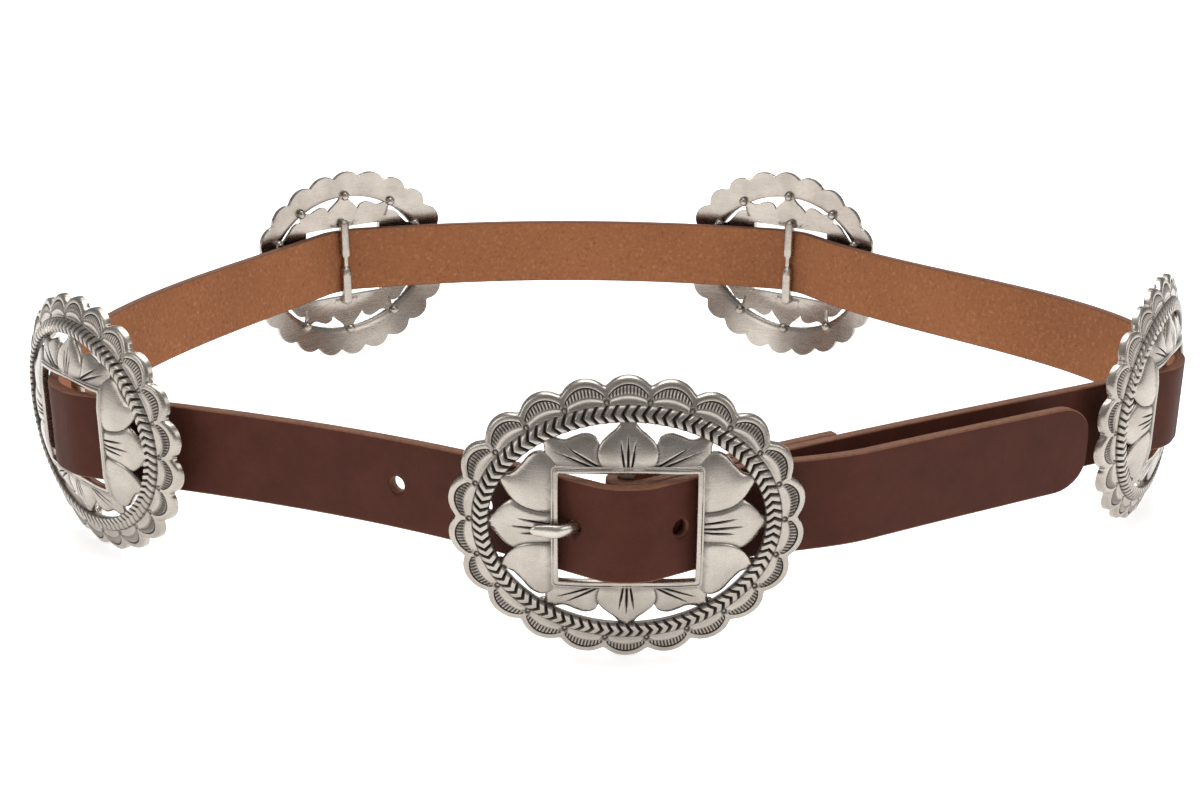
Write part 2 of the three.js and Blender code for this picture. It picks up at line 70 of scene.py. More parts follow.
TURN_CORE, TURN_CONCHO, CONCHO_FLAT, FOLD_FLAT, OVER_FLAT = 6.7, 16.0, 2.0, 0.5, 1.0
TURN_PASS, TURN_PAST = 0.6, 2.0
CLOSE_OVER, OPEN_OVER, SPAN_PULL = 12.0, 46.0, 0.36
PLAN_TO_MODEL = np.array([-1.305, -7.121, PLATE_Y])
LOOP_X, LOOP_Y = 171.0, 141.3

# Each row is a plate's name, its place as shares of the loop, the way it faces in degrees, the
# strap's extra turn there, and how far the strap is lifted over the bar.
PLACE_ROWS = [
    ("buckle", 0.012, -1.0, 0.5, 2, 0.0),
    ("concho_right", 1.0, -0.265, 60, 0, 1.5),
    ("concho_back_right", 0.4345, 0.991, 142.5, 3, 0.0),
    ("concho_back_left", -0.655, 0.957, 220.5, 3, 0.0),
    ("concho_left", -0.93, -0.488, 313, 0, 1.5),
]
PLACES = [
    {"name": name, "x": x * LOOP_X, "y": y * LOOP_Y, "way": way, "extra": extra, "lift": lift}
    for name, x, y, way, extra, lift in PLACE_ROWS
]
BUCKLE, CONCHOS = PLACES[0], PLACES[1:]
print("plates:", [place["name"] for place in PLACES])

# %% [markdown]
# ## Camera, floor and light
# The camera stands where the strap's top and bottom edges lie over one another as they do in the
# photograph. The floor is plain and pale, and the light is a large soft box overhead with two
# weaker ones at the sides. Metal shows mostly what it mirrors, so the sky around the belt is
# graded: bright overhead, and grey where the room would be.

# %% Camera
LENS, SENSOR = 48.0, 36.0
CAMERA_AT = (-6.3, -515.1, 196.3)
CAMERA_DOWN, CAMERA_ROLL = 18.87, 0.38
MM = 0.001

camera = bpy.data.objects.new("camera", bpy.data.cameras.new("camera"))
camera.data.lens, camera.data.sensor_width = LENS, SENSOR
tilt = Matrix.Rotation(math.radians(90 - CAMERA_DOWN), 4, "X")
roll = Matrix.Rotation(math.radians(CAMERA_ROLL), 4, "Z")
camera.matrix_world = Matrix.Translation([MM * v for v in CAMERA_AT]) @ tilt @ roll
bpy.context.collection.objects.link(camera)
bpy.context.scene.camera = camera
bpy.context.scene.view_settings.view_transform = "Standard"
print("camera at", CAMERA_AT)


# %% Materials from nodes
def linear(red, green, blue):
    """A colour given as 0 to 255 on a screen, as the linear light that nodes use."""
    shares = np.array([red, green, blue]) / 255
    light = np.where(shares <= 0.04045, shares / 12.92, ((shares + 0.055) / 1.055) ** 2.4)
    return (*light.tolist(), 1.0)


def new_finish(name):
    """An empty material, its tree and its shader."""
    finish = bpy.data.materials.new(name)
    finish.use_nodes = True
    return finish, finish.node_tree, finish.node_tree.nodes["Principled BSDF"]


def add(tree, kind, inputs=None, **settings):
    """A node of one kind, with its settings, and its inputs set or linked by name or number."""
    made = tree.nodes.new(kind)
    for key, value in settings.items():
        setattr(made, key, value)
    for key, value in (inputs or {}).items():
        feed(tree, made, key, value)
    return made


def feed(tree, node, key, value):
    """One input of a node, from a socket or as a value."""
    if isinstance(value, bpy.types.NodeSocket):
        tree.links.new(value, node.inputs[key])
    else:
        node.inputs[key].default_value = value


def object_noise(tree, scale, detail=3, roughness=0.5, stretch=(1, 1, 1)):
    """Noise read at the object's own coordinates, which are stretched first."""
    place = add(tree, "ShaderNodeTexCoord").outputs["Object"]
    mapped = add(tree, "ShaderNodeMapping", {"Vector": place, "Scale": stretch})
    noise = {"Vector": mapped.outputs[0], "Scale": scale, "Detail": detail, "Roughness": roughness}
    return add(tree, "ShaderNodeTexNoise", noise).outputs["Fac"]


def ranged(tree, value, near, to):
    """A value taken from one range to another."""
    limits = {"From Min": near[0], "From Max": near[1], "To Min": to[0], "To Max": to[1]}
    return add(tree, "ShaderNodeMapRange", {"Value": value, **limits}).outputs[0]


def mixed(tree, share, first, second):
    """Two colours mixed by a share."""
    made = add(tree, "ShaderNodeMix", data_type="RGBA")
    feed(tree, made, "Factor", share)
    feed(tree, made, 6, first)
    feed(tree, made, 7, second)
    return made.outputs[2]


def total(tree, first, second):
    """The sum of two values."""
    return add(tree, "ShaderNodeMath", {0: first, 1: second}, operation="ADD").outputs[0]


def times(tree, value, factor):
    """A value times a factor."""
    return add(tree, "ShaderNodeMath", {0: value, 1: factor}, operation="MULTIPLY").outputs[0]


def bumped(tree, shader, height, strength, distance):
    """Bumps in the surface's light: a value of 1 stands for a rise of the distance, in metres."""
    bump = add(tree, "ShaderNodeBump", {"Height": height, "Strength": strength, "Distance": distance})
    feed(tree, shader, "Normal", bump.outputs[0])


print("a mid grey on a screen, as light:", round(linear(128, 128, 128)[0], 3))

# %% Floor and light
FLOOR_HALF, FLOOR_TONE, FLOOR_ROUGHNESS, FLOOR_GLOW = 12.0, 244, 0.9, 0.6
floor_mesh = bpy.data.meshes.new("floor")
corners = [(-1, -1), (1, -1), (1, 1), (-1, 1)]
floor_mesh.from_pydata([(FLOOR_HALF * x, FLOOR_HALF * y, 0.0) for x, y in corners], [], [(0, 1, 2, 3)])
floor = bpy.data.objects.new("floor", floor_mesh)
bpy.context.collection.objects.link(floor)
paint, paint_tree, paint_shader = new_finish("pale_floor")
feed(paint_tree, paint_shader, "Base Color", linear(FLOOR_TONE, FLOOR_TONE, FLOOR_TONE))
feed(paint_tree, paint_shader, "Roughness", FLOOR_ROUGHNESS)
feed(paint_tree, paint_shader, "Emission Color", linear(255, 255, 255))
feed(paint_tree, paint_shader, "Emission Strength", FLOOR_GLOW)
floor_mesh.materials.append(paint)


def soft_box(name, at, towards, size, power):
    """A square area light at a point, turned to another point, in metres and watts."""
    light = bpy.data.lights.new(name, "AREA")
    light.shape, light.size, light.energy = "SQUARE", size, power
    box = bpy.data.objects.new(name, light)
    box.location = at
    way = np.array(towards) - np.array(at)
    level = math.hypot(way[0], way[1])
    box.rotation_euler = (math.atan2(level, -way[2]), 0, math.atan2(-way[0], way[1]))
    bpy.context.collection.objects.link(box)


# Each row is a box's name, its place, the point it is turned to, its size and its power.
SOFT_BOXES = [
    ("overhead", (0.0, 0.2, 1.3), (0.0, 0.0, 0.0), 1.0, 11.0),
    ("behind", (0.0, 1.9, 1.5), (0.0, 1.9, 0.0), 1.4, 16.0),
    ("side_left", (-1.5, -0.9, 0.8), (0.0, 0.0, 0.05), 0.8, 4.0),
    ("side_right", (1.5, -0.7, 0.9), (0.0, 0.0, 0.05), 0.8, 4.0),
]
for row in SOFT_BOXES:
    soft_box(*row)

# The sky's grey at heights from the horizon, 0, to straight overhead, 1.
SKY, SKY_STRENGTH = [(0.0, 0.85), (0.12, 0.42), (0.5, 0.36), (0.8, 0.6), (1.0, 1.0)], 0.8
world = bpy.data.worlds.new("studio")
world.use_nodes = True
bpy.context.scene.world = world
sky = world.node_tree
way_up = add(sky, "ShaderNodeSeparateXYZ", {0: add(sky, "ShaderNodeTexCoord").outputs["Generated"]})
grade = add(sky, "ShaderNodeValToRGB", {0: way_up.outputs["Z"]})
while len(grade.color_ramp.elements) < len(SKY):
    grade.color_ramp.elements.new(0.5)
for stop, (height, light) in zip(grade.color_ramp.elements, SKY):
    stop.position, stop.color = height, (light, light, light, 1.0)
feed(sky, sky.nodes["Background"], "Color", grade.outputs["Color"])
feed(sky, sky.nodes["Background"], "Strength", SKY_STRENGTH)
print("floor and soft boxes:", len(bpy.data.lights))

# %% [markdown]
# ## Surfaces from grids
# Nearly everything on the belt is a grid of points bent into shape: rows of points, joined to
# their neighbours by faces. A grid may close on itself, as a ring does. Each piece is made of one
# or more such grids, and a value at each point says how dark its recesses are: partly the
# patina of antique silver, partly painted shade where less light would reach.


# %% Grids, joined into pieces
MERGED_WITHIN, SLIVER = 2e-7, 1e-8


def grid(points, close_rows=False, close_columns=False, **extra):
    """A surface from rows and columns of points, in millimetres: point (r, c) is number
    r * columns + c, and each face joins four neighbours. Its finish slots, its flat map and its
    patina and painted shade are 0 unless they are given."""
    rows, columns = points.shape[:2]
    r = np.arange(rows if close_rows else rows - 1)[:, None]
    c = np.arange(columns if close_columns else columns - 1)[None, :]
    r, c = np.broadcast_arrays(r, c)
    r2, c2 = (r + 1) % rows, (c + 1) % columns
    corners = [r * columns + c, r * columns + c2, r2 * columns + c2, r2 * columns + c]
    faces = np.stack(corners, axis=-1).reshape(-1, 4)
    made = {"points": points.reshape(-1, 3), "faces": faces, "slots": np.zeros(len(faces), int)}
    made.update(uv=np.zeros((faces.size, 2)), tarnish=np.zeros(rows * columns))
    return {**made, **extra}


def facing_out(part):
    """A closed surface turned so that its volume, the sum over its faces of the corners' triple
    products, is above 0."""
    p = part["points"][part["faces"]]
    first = np.einsum("ij,ij->i", p[:, 0], np.cross(p[:, 1], p[:, 2]))
    second = np.einsum("ij,ij->i", p[:, 0], np.cross(p[:, 2], p[:, 3]))
    if (first + second).sum() < 0:
        part["faces"] = part["faces"][:, ::-1]
    return part


def piece(name, parts, finishes, sharp=35.0):
    """One object from several grids, with doubled points merged and soft shading between its
    sharp edges."""
    points = np.concatenate([part["points"] for part in parts])
    starts = np.cumsum([0] + [len(part["points"]) for part in parts[:-1]])
    faces = np.concatenate([part["faces"] + start for part, start in zip(parts, starts)])
    slots, uv, tarnish = (np.concatenate([part[key] for part in parts]) for key in ("slots", "uv", "tarnish"))
    mesh = bpy.data.meshes.new(name)
    mesh.from_pydata(points * MM, [], faces)
    mesh.polygons.foreach_set("material_index", slots)
    # Each point's darkening: patina, and painted shade in its recesses.
    dark = mesh.attributes.new("tarnish", "FLOAT", "POINT")
    dark.data.foreach_set("value", tarnish)
    spread = mesh.uv_layers.new(name="spread")
    spread.data.foreach_set("uv", uv.ravel())
    for finish in finishes:
        mesh.materials.append(finish)
    tidy = bmesh.new()
    tidy.from_mesh(mesh)
    bmesh.ops.remove_doubles(tidy, verts=tidy.verts, dist=MERGED_WITHIN)
    bmesh.ops.dissolve_degenerate(tidy, edges=tidy.edges, dist=SLIVER)
    tidy.to_mesh(mesh)
    tidy.free()
    mesh.polygons.foreach_set("use_smooth", np.ones(len(mesh.polygons), bool))
    mesh.set_sharp_from_angle(angle=math.radians(sharp))
    made = bpy.data.objects.new(name, mesh)
    bpy.context.collection.objects.link(made)
    print(name, "triangles:", sum(len(polygon.vertices) - 2 for polygon in mesh.polygons))
    return made


# %% [markdown]
# ## The strap's line
# In the plan the strap is one line: the folded end inside the buckle, round the bar, round the
# loop through every plate, over the bar again and on to the free end. At each plate it comes up
# through the window over the bar and goes back down, so it is a flat, an arc and a straight on
# each side of the bar. Between two plates it follows a cubic curve, as a springy band would.

# %% Poses along the plan
ARC_STEP, SPAN_STEPS, LAYER_STEP = math.radians(4), 60, 2.0


def ahead(start, length):
    """A pose further on in its own direction."""
    x, y, turn = start
    return np.array([x + length * math.cos(turn), y + length * math.sin(turn), turn])


def arc(start, radius, turn):
    """Poses after the start along an arc that turns left."""
    steps = math.ceil(turn / ARC_STEP)
    now = start[2] + turn * np.arange(1, steps + 1) / steps
    x = start[0] + radius * (np.sin(now) - math.sin(start[2]))
    y = start[1] + radius * (math.cos(start[2]) - np.cos(now))
    return np.column_stack([x, y, now])


def spots_in_plan(place, x, y):
    """Coordinates in a plate's own frame, turned by its way and put in the plan."""
    c, s = math.cos(math.radians(place["way"])), math.sin(math.radians(place["way"]))
    return place["x"] + c * x - s * y, place["y"] + s * x + c * y


def in_plan(place, poses):
    """Poses in a plate's own frame, turned by its way and put in the plan."""
    x, y, turn = np.atleast_2d(poses).T
    return np.column_stack([*spots_in_plan(place, x, y), math.radians(place["way"]) + turn])


def span(start, end):
    """Poses between two others: the cubic curve whose inner points lie ahead of the first and
    behind the second by a share of their distance."""
    pull = SPAN_PULL * math.dist(start[:2], end[:2])
    a, b, c, d = start[:2], ahead(start, pull)[:2], ahead(end, -pull)[:2], end[:2]
    t = (np.arange(1, SPAN_STEPS) / SPAN_STEPS)[:, None]
    spots = (1 - t) ** 3 * a + 3 * (1 - t) ** 2 * t * b + 3 * (1 - t) * t**2 * c + t**3 * d
    slope = (1 - t) ** 2 * (b - a) + 2 * (1 - t) * t * (c - b) + t**2 * (d - c)
    return np.column_stack([spots, np.arctan2(slope[:, 1], slope[:, 0])])


def turn_past(layer, flat, radius):
    """The least turn that takes a layer's outer face past the window's back edge."""
    across, deep = WINDOW_X - flat, layer + radius - PLATE_THICK
    outer = radius + STRAP_THICK / 2 + TURN_PASS
    return math.atan2(across, deep) - math.acos(outer / math.hypot(across, deep))


def half_crossing(layer, flat, radius, turn):
    """Flat over the bar, an arc, and straight on past the window's edge."""
    start = np.array([flat, layer, 0.0])
    bend = np.vstack([start, arc(start, radius, turn)])
    edge = WINDOW_X + TURN_PAST
    return np.vstack([bend, ahead(bend[-1], (edge - bend[-1, 0]) / math.cos(turn))])


def mirrored(poses):
    """The same poses on the bar's other side, in the order of travel."""
    return (poses * [-1, 1, -1])[::-1]


BAR_MIDDLE = -BAR_SINK - BAR_THICK / 2
NEAR_LAYER = BAR_SINK - CLEAR - STRAP_THICK / 2
OVER_LAYER = NEAR_LAYER - STRAP_THICK - CLEAR
NEAR_RADIUS = TURN_CORE + STRAP_THICK / 2
OVER_RADIUS = NEAR_RADIUS + STRAP_THICK + CLEAR
FOLD_RADIUS = BAR_THICK / 2 + CLEAR + STRAP_THICK / 2
FOLD_AT = FOLD_RADIUS - STRAP_THICK / 2 - BAR_WIDTH / 2 - 2 * CLEAR
LAYER_GAP = STRAP_THICK + CLEAR
FOLD_TURN = turn_past(OVER_LAYER, FOLD_FLAT, OVER_RADIUS) + math.radians(BUCKLE["extra"])
OVER_TURN = turn_past(OVER_LAYER, OVER_FLAT, OVER_RADIUS) + math.radians(BUCKLE["extra"])
print("turn at the buckle, degrees:", round(math.degrees(FOLD_TURN), 1))


# %% The loop, the folded end and the free end
def smooth(value, low, high):
    """A smooth step from 0 at the low value to 1 at the high one."""
    t = np.clip((value - low) / (high - low), 0, 1)
    return t * t * (3 - 2 * t)


def runs_along(x, y):
    """The distance along a line at each of its points."""
    return np.concatenate([[0], np.cumsum(np.hypot(np.diff(x), np.diff(y)))])


def measured(poses):
    """Poses with the distance along their line as a fourth column."""
    return np.column_stack([poses[:, :3], runs_along(*poses[:, :2].T)])


def at(line, runs):
    """Poses of a measured line at the given distances."""
    return np.column_stack([np.interp(runs, line[:, 3], line[:, k]) for k in range(3)])


def crossing(place):
    """A plate's crossing, from one side of its window to the other, in the plan."""
    layer = NEAR_LAYER - place["lift"]
    turn = turn_past(layer, CONCHO_FLAT, TURN_CONCHO) + math.radians(place["extra"])
    half = half_crossing(layer, CONCHO_FLAT, TURN_CONCHO, turn)
    return in_plan(place, np.vstack([mirrored(half), half]))


def outer_run():
    """The run from the fold round the four conchos to the buckle's left side."""
    leave = half_crossing(NEAR_LAYER, FOLD_FLAT, NEAR_RADIUS, FOLD_TURN)
    arrive = mirrored(half_crossing(OVER_LAYER, OVER_FLAT, OVER_RADIUS, OVER_TURN))
    first = in_plan(BUCKLE, np.vstack([[FOLD_AT, NEAR_LAYER, 0.0], leave]))
    stretches = [first, *map(crossing, CONCHOS), in_plan(BUCKLE, arrive)]
    run = [first]
    for before, after in zip(stretches, stretches[1:]):
        run += [span(before[-1], after[0]), after]
    return np.vstack(run)


def layer_marks(line, last):
    """Distances for a second layer: the bend's own poses, then even steps."""
    bend = line[line[:, 3] <= BEND_END, 3]
    steps = math.ceil((last - BEND_END) / LAYER_STEP)
    return np.concatenate([bend, np.linspace(BEND_END, last, steps + 1)[1:]])


def beside(line, runs, offset):
    """A layer beside a line, off it to the right by the offset."""
    poses = at(line, runs)
    poses[:, 0] += offset * np.sin(poses[:, 2])
    poses[:, 1] -= offset * np.cos(poses[:, 2])
    return poses


BEND_END = FOLD_FLAT - FOLD_AT + NEAR_RADIUS * FOLD_TURN
WINDOW_END = (WINDOW_X + TURN_PAST) / math.cos(FOLD_TURN)
outer = measured(outer_run())

flap_runs = layer_marks(outer, FLAP)
closed = smooth(flap_runs, BEND_END, BEND_END + CLOSE_OVER)
flap = beside(outer, flap_runs, -2 * FOLD_RADIUS + (2 * FOLD_RADIUS - LAYER_GAP) * closed)[::-1]

fold_start = in_plan(BUCKLE, [FOLD_AT, NEAR_LAYER + 2 * FOLD_RADIUS, math.pi])[0]
fold = arc(fold_start, FOLD_RADIUS, math.pi)[:-1]

# The marks draw closer together towards the tip, where the strap's height falls fastest.
TAPER_MARKS = np.append(np.geomspace(0.9, 0.03, 12), 0)
tip_last = TIP - FOLD_AT
tip_runs = layer_marks(outer, tip_last - TAPER)
tip_runs = np.concatenate([tip_runs[tip_runs > -FOLD_AT], tip_last - TAPER * TAPER_MARKS])
opened = smooth(tip_runs, WINDOW_END, WINDOW_END + OPEN_OVER)
tip = beside(outer, tip_runs, LAYER_GAP + STAND * opened)

strap_line = measured(np.vstack([flap, fold, outer[:, :3], tip]))
STRAP_END = strap_line[-1, 3]
FOLD_MIDDLE = measured(flap)[-1, 3] + math.pi / 2 * FOLD_RADIUS
OVER_BAR = strap_line[len(flap) + len(fold) + len(outer) - 1, 3] + OVER_FLAT
print("strap, mm:", round(STRAP_END))

# %% [markdown]
# ## Leather
# The strap is one thickness of vegetable-tanned leather. Its outer face is dyed dark brown and
# has a fine grain, its inner face is the raw tan flesh side with short fibres, and its cut edges
# are tan with darker lines where the dye has soaked in. Three finishes on one mesh give the
# crisp borders that a cut edge has.

# %% Finishes of the leather
# Dullness is the roughness, and mirror is how strongly the surface mirrors.
GRAIN_FACE = {"deep": linear(56, 27, 19), "worn": linear(90, 49, 38), "mirror": 0.12}
FLESH = {"base": linear(153, 99, 65), "light": linear(180, 127, 86), "dark": linear(113, 69, 46)}
FLESH.update(dullness=0.9, mirror=0.2)
CUT = {"tan": linear(128, 81, 53), "dark": linear(82, 50, 35), "dullness": 0.75}
CUT_STREAKS = (150.0, 900.0, 1.0)


def face_finish():
    """Dark dyed face: slow cloudy tone, fine pores, and roughness that follows them."""
    finish, tree, shader = new_finish("leather_face")
    cloud = object_noise(tree, scale=90, detail=4, roughness=0.6)
    pores = object_noise(tree, scale=1500, detail=3, roughness=0.65)
    creases = object_noise(tree, scale=320, detail=4, roughness=0.6, stretch=(1, 1, 0.35))
    tone = total(tree, ranged(tree, cloud, near=(0.3, 0.7), to=(0.0, 0.3)), times(tree, pores, 0.7))
    feed(tree, shader, "Base Color", mixed(tree, tone, GRAIN_FACE["deep"], GRAIN_FACE["worn"]))
    feed(tree, shader, "Roughness", ranged(tree, pores, near=(0.3, 0.7), to=(0.55, 0.72)))
    feed(tree, shader, "Specular IOR Level", GRAIN_FACE["mirror"])
    bumped(tree, shader, total(tree, times(tree, pores, 0.6), creases), strength=0.5, distance=0.00025)
    return finish


def flesh_finish():
    """Raw flesh side: tan with light and dark flecks of fibre, rough and without gloss."""
    finish, tree, shader = new_finish("leather_flesh")
    cloud = object_noise(tree, scale=22, detail=3, roughness=0.5)
    fleck = object_noise(tree, scale=700, detail=5, roughness=0.7)
    fibre = object_noise(tree, scale=1700, detail=3, roughness=0.7)
    toned = mixed(tree, ranged(tree, cloud, near=(0.3, 0.7), to=(0.0, 0.35)), FLESH["base"], FLESH["dark"])
    lit = mixed(tree, ranged(tree, fleck, near=(0.54, 0.7), to=(0.0, 0.8)), toned, FLESH["light"])
    specked = mixed(tree, ranged(tree, fleck, near=(0.44, 0.3), to=(0.0, 0.8)), lit, FLESH["dark"])
    feed(tree, shader, "Base Color", specked)
    feed(tree, shader, "Roughness", FLESH["dullness"])
    feed(tree, shader, "Specular IOR Level", FLESH["mirror"])
    bumped(tree, shader, total(tree, fibre, fleck), strength=0.5, distance=0.00025)
    return finish


def cut_finish():
    """Cut edge: streaks along the strap, read from its own unrolled map."""
    finish, tree, shader = new_finish("leather_cut")
    spread = add(tree, "ShaderNodeUVMap", uv_map="spread").outputs[0]
    drawn = add(tree, "ShaderNodeMapping", {"Vector": spread, "Scale": CUT_STREAKS}).outputs[0]
    streak = add(tree, "ShaderNodeTexNoise", {"Vector": drawn, "Scale": 1.0, "Detail": 4.0}).outputs["Fac"]
    fleck = object_noise(tree, scale=900, detail=3, roughness=0.6)
    streaks = ranged(tree, streak, near=(0.4, 0.7), to=(0.1, 0.45))
    share = total(tree, streaks, ranged(tree, fleck, near=(0.4, 0.7), to=(0.0, 0.5)))
    feed(tree, shader, "Base Color", mixed(tree, share, CUT["tan"], CUT["dark"]))
    feed(tree, shader, "Roughness", CUT["dullness"])
    bumped(tree, shader, fleck, strength=0.5, distance=0.0003)
    return finish


leather = [face_finish(), flesh_finish(), cut_finish()]
FACE, FLESH_SIDE, CUT_EDGE = range(3)
print("leather finishes:", [finish.name for finish in leather])

# %% Section of the strap
# Marks of the line closer than CLOSEST are left out, and stations are at most STATION apart.
CORNER, STATION, CLOSEST, STRAP_SHARP = 0.45, 1.5, 0.2, 60.0
FACE_STEPS, EDGE_STEPS, CORNER_STEPS = 12, 5, 3


def strap_section():
    """The outline round the strap, which starts at the bottom of the outer face and goes up it,
    over the top edge and down the inner face. out is the distance outwards, and the height is
    share times the straight half height plus rise."""
    half = STRAP_THICK / 2 - CORNER
    turn = np.linspace(0, math.pi / 2, CORNER_STEPS + 1)[1:]
    face = np.linspace(-1, 1, FACE_STEPS + 1)
    edge = np.linspace(half, -half, EDGE_STEPS + 1)[1:]
    back = turn[:-1]
    out = [0 * face + half + CORNER, half + CORNER * np.cos(turn), edge, -half - CORNER * np.sin(back)]
    rise = [0 * face, CORNER * np.sin(turn), 0 * edge + CORNER, CORNER * np.cos(back)]
    share = [face, 1 + 0 * turn, 1 + 0 * edge, 1 + 0 * back]
    out, share, rise = map(np.concatenate, (out, share, rise))
    return np.append(out, -out), np.append(share, -share), np.append(rise, -rise)


def half_height(run):
    """Half the strap's width, rounded off at its free end like a blunt ellipse."""
    left = np.minimum((STRAP_END - run) / TAPER, 1)
    rounding = np.sqrt(np.maximum(1 - (1 - left) ** 2, 0))
    return STRAP_WIDTH / 2 * (BLUNT + (1 - BLUNT) * rounding)


def to_model(points):
    """Points of the plan, with heights from the plates' middle, in the model's own place."""
    return points + PLAN_TO_MODEL


def drawn_square(line, out, up):
    """Points of a section drawn square to a line at each station: its spot, plus out times the
    unit vector to the right of the line's slope, and up."""
    way = np.gradient(line[:, :2], axis=0)
    way /= np.linalg.norm(way, axis=1, keepdims=True)
    x = line[:, 0, None] + out * way[:, 1, None]
    y = line[:, 1, None] - out * way[:, 0, None]
    return np.stack([x, y, np.broadcast_to(up, x.shape)], axis=-1)


def strap_part(line):
    """The strap's section carried along its line, with the map that its cut edges' streaks read:
    the distance along the line, and the distance round the section."""
    out, share, rise = strap_section()
    half = half_height(line[:, 3]) - CORNER
    points = to_model(drawn_square(line, out, share * half[:, None] + rise))
    girth = runs_along(out, share * STRAP_WIDTH / 2 + rise)
    columns = len(out)
    near = columns // 2
    slots = np.full(columns, CUT_EDGE)
    slots[:FACE_STEPS], slots[near : near + FACE_STEPS] = FACE, FLESH_SIDE
    wall = grid(points, close_columns=True)
    wall["slots"] = np.tile(slots, len(line) - 1)
    u = np.broadcast_to(line[:, 3, None], (len(line), columns + 1))
    v = np.broadcast_to(np.append(girth, girth[-1] + CORNER), u.shape)
    corner_uv = np.stack([u, v], axis=-1) * MM
    quads = [corner_uv[:-1, :-1], corner_uv[:-1, 1:], corner_uv[1:, 1:], corner_uv[1:, :-1]]
    wall["uv"] = np.stack(quads, axis=2).reshape(-1, 2)
    return facing_out(wall)


def close_ends(mesh_object, slot):
    """Flat faces over the open ends of a piece."""
    shell = bmesh.new()
    shell.from_mesh(mesh_object.data)
    rims = [edge for edge in shell.edges if edge.is_boundary]
    for face in bmesh.ops.holes_fill(shell, edges=rims, sides=0)["faces"]:
        face.material_index, face.smooth = slot, False
    bmesh.ops.recalc_face_normals(shell, faces=shell.faces)
    shell.to_mesh(mesh_object.data)
    shell.free()


corners = strap_line[np.append(np.diff(strap_line[:, 3]) > CLOSEST, True), 3]
parts = np.ceil(np.diff(corners) / STATION).astype(int)
stretches = zip(corners, corners[1:], parts)
runs = [np.linspace(low, high, count, endpoint=False) for low, high, count in stretches]
runs = np.append(np.concatenate(runs), corners[-1])
stations = np.column_stack([at(strap_line, runs), runs])
strap = piece("strap_leather", [strap_part(stations)], leather, STRAP_SHARP)
close_ends(strap, CUT_EDGE)
print("stations along the strap:", len(stations))

# %% [markdown]
# ## Holes in the strap
# Five adjusting holes, a slot in the fold and a hole for the rivet are punched through. A punch
# is a plain pin or block, and a Boolean modifier takes them all away at once, as the tool would.
# The leather closes a little round the prong, so the hole that holds it is smaller.


# %% Punch the holes
PIN_SIDES, SLOT_STATIONS = 32, 40


def circle(sides):
    """The cosines and sines of even turns round a circle."""
    turn = np.linspace(0, 2 * math.pi, sides, endpoint=False)
    return np.cos(turn), np.sin(turn)


def turned_pin(spot, profile):
    """A shape turned round a pin that stands square to the strap at a pose. Each point of its
    profile is a radius and a place along the pin."""
    x0, y0, way = spot
    radius, along = np.array(profile).T[..., None]
    c, s = circle(PIN_SIDES)
    x = x0 + radius * c * math.cos(way) + along * math.sin(way)
    y = y0 + radius * c * math.sin(way) - along * math.cos(way)
    return grid(to_model(np.stack([x, y, radius * s], axis=-1)), close_columns=True)


def punch(spot, diameter, length):
    """A plain round pin, as long on both sides of the pose."""
    return turned_pin(spot, [(diameter / 2, -length / 2), (diameter / 2, length / 2)])


def slot_punch():
    """A block that follows the fold, as long as the prong's hook needs."""
    hook = NECK_CORNER + CLEAR + WIRE
    half = math.pi / 2 * FOLD_RADIUS - FOLD_AT + hook + WIRE + SLOT_SPARE
    line = at(strap_line, np.linspace(FOLD_MIDDLE - half, FOLD_MIDDLE + half, SLOT_STATIONS))
    out = (STRAP_THICK / 2 + CLEAR / 4) * np.array([-1, -1, 1, 1])
    up = SLOT_HEIGHT / 2 * np.array([-1, 1, 1, -1])
    return grid(to_model(drawn_square(line, out, up)), close_columns=True)


hole_runs = OVER_BAR - HOLE_OFFSET + HOLE_PITCH * np.arange(-HOLES_EACH_SIDE, HOLES_EACH_SIDE + 1)
rivet_spot = beside(outer, np.array([RIVET_FROM]), -LAYER_GAP / 2)[0]
RIVET_GRIP = 2 * STRAP_THICK + CLEAR
hole_sizes = np.full(len(hole_runs), HOLE_DIAMETER)
hole_sizes[HOLES_EACH_SIDE] = HELD_DIAMETER
hole_spots = at(strap_line, hole_runs)
punches = [punch(spot, size, STRAP_THICK + CLEAR) for spot, size in zip(hole_spots, hole_sizes)]
punches += [slot_punch(), punch(rivet_spot, RIVET_SHANK + 2 * CLEAR, RIVET_GRIP + CLEAR)]
for part in punches:
    part["slots"] = np.full(len(part["faces"]), CUT_EDGE)
cutter = piece("punches", punches, leather)
close_ends(cutter, CUT_EDGE)

cut = strap.modifiers.new("holes", "BOOLEAN")
cut.operation, cut.solver, cut.object = "DIFFERENCE", "EXACT", cutter
holed = bpy.data.meshes.new_from_object(strap.evaluated_get(bpy.context.evaluated_depsgraph_get()))
strap.modifiers.clear()
strap.data = holed
bpy.data.objects.remove(cutter)
print("strap after punching, faces:", len(holed.polygons))

# %% [markdown]
# ## Antique silver
# The plates are cast and then darkened, and the high places are rubbed bright again. The
# darkening of each point, which the surfaces below work out, is partly that patina and partly
# painted shade where less light reaches the recesses. It mixes the bright metal with a nearly
# black brown that is dull. Fine level scratches from brushing show most on the backs.


# %% Finishes of the metal
# The dark of the recesses is partly real patina and partly painted shade; film is a cloudy tarnish over the
# metal.
PATINA_AND_SHADE = {"deep": linear(38, 27, 22), "film": linear(120, 108, 96), "dullness": 0.35}


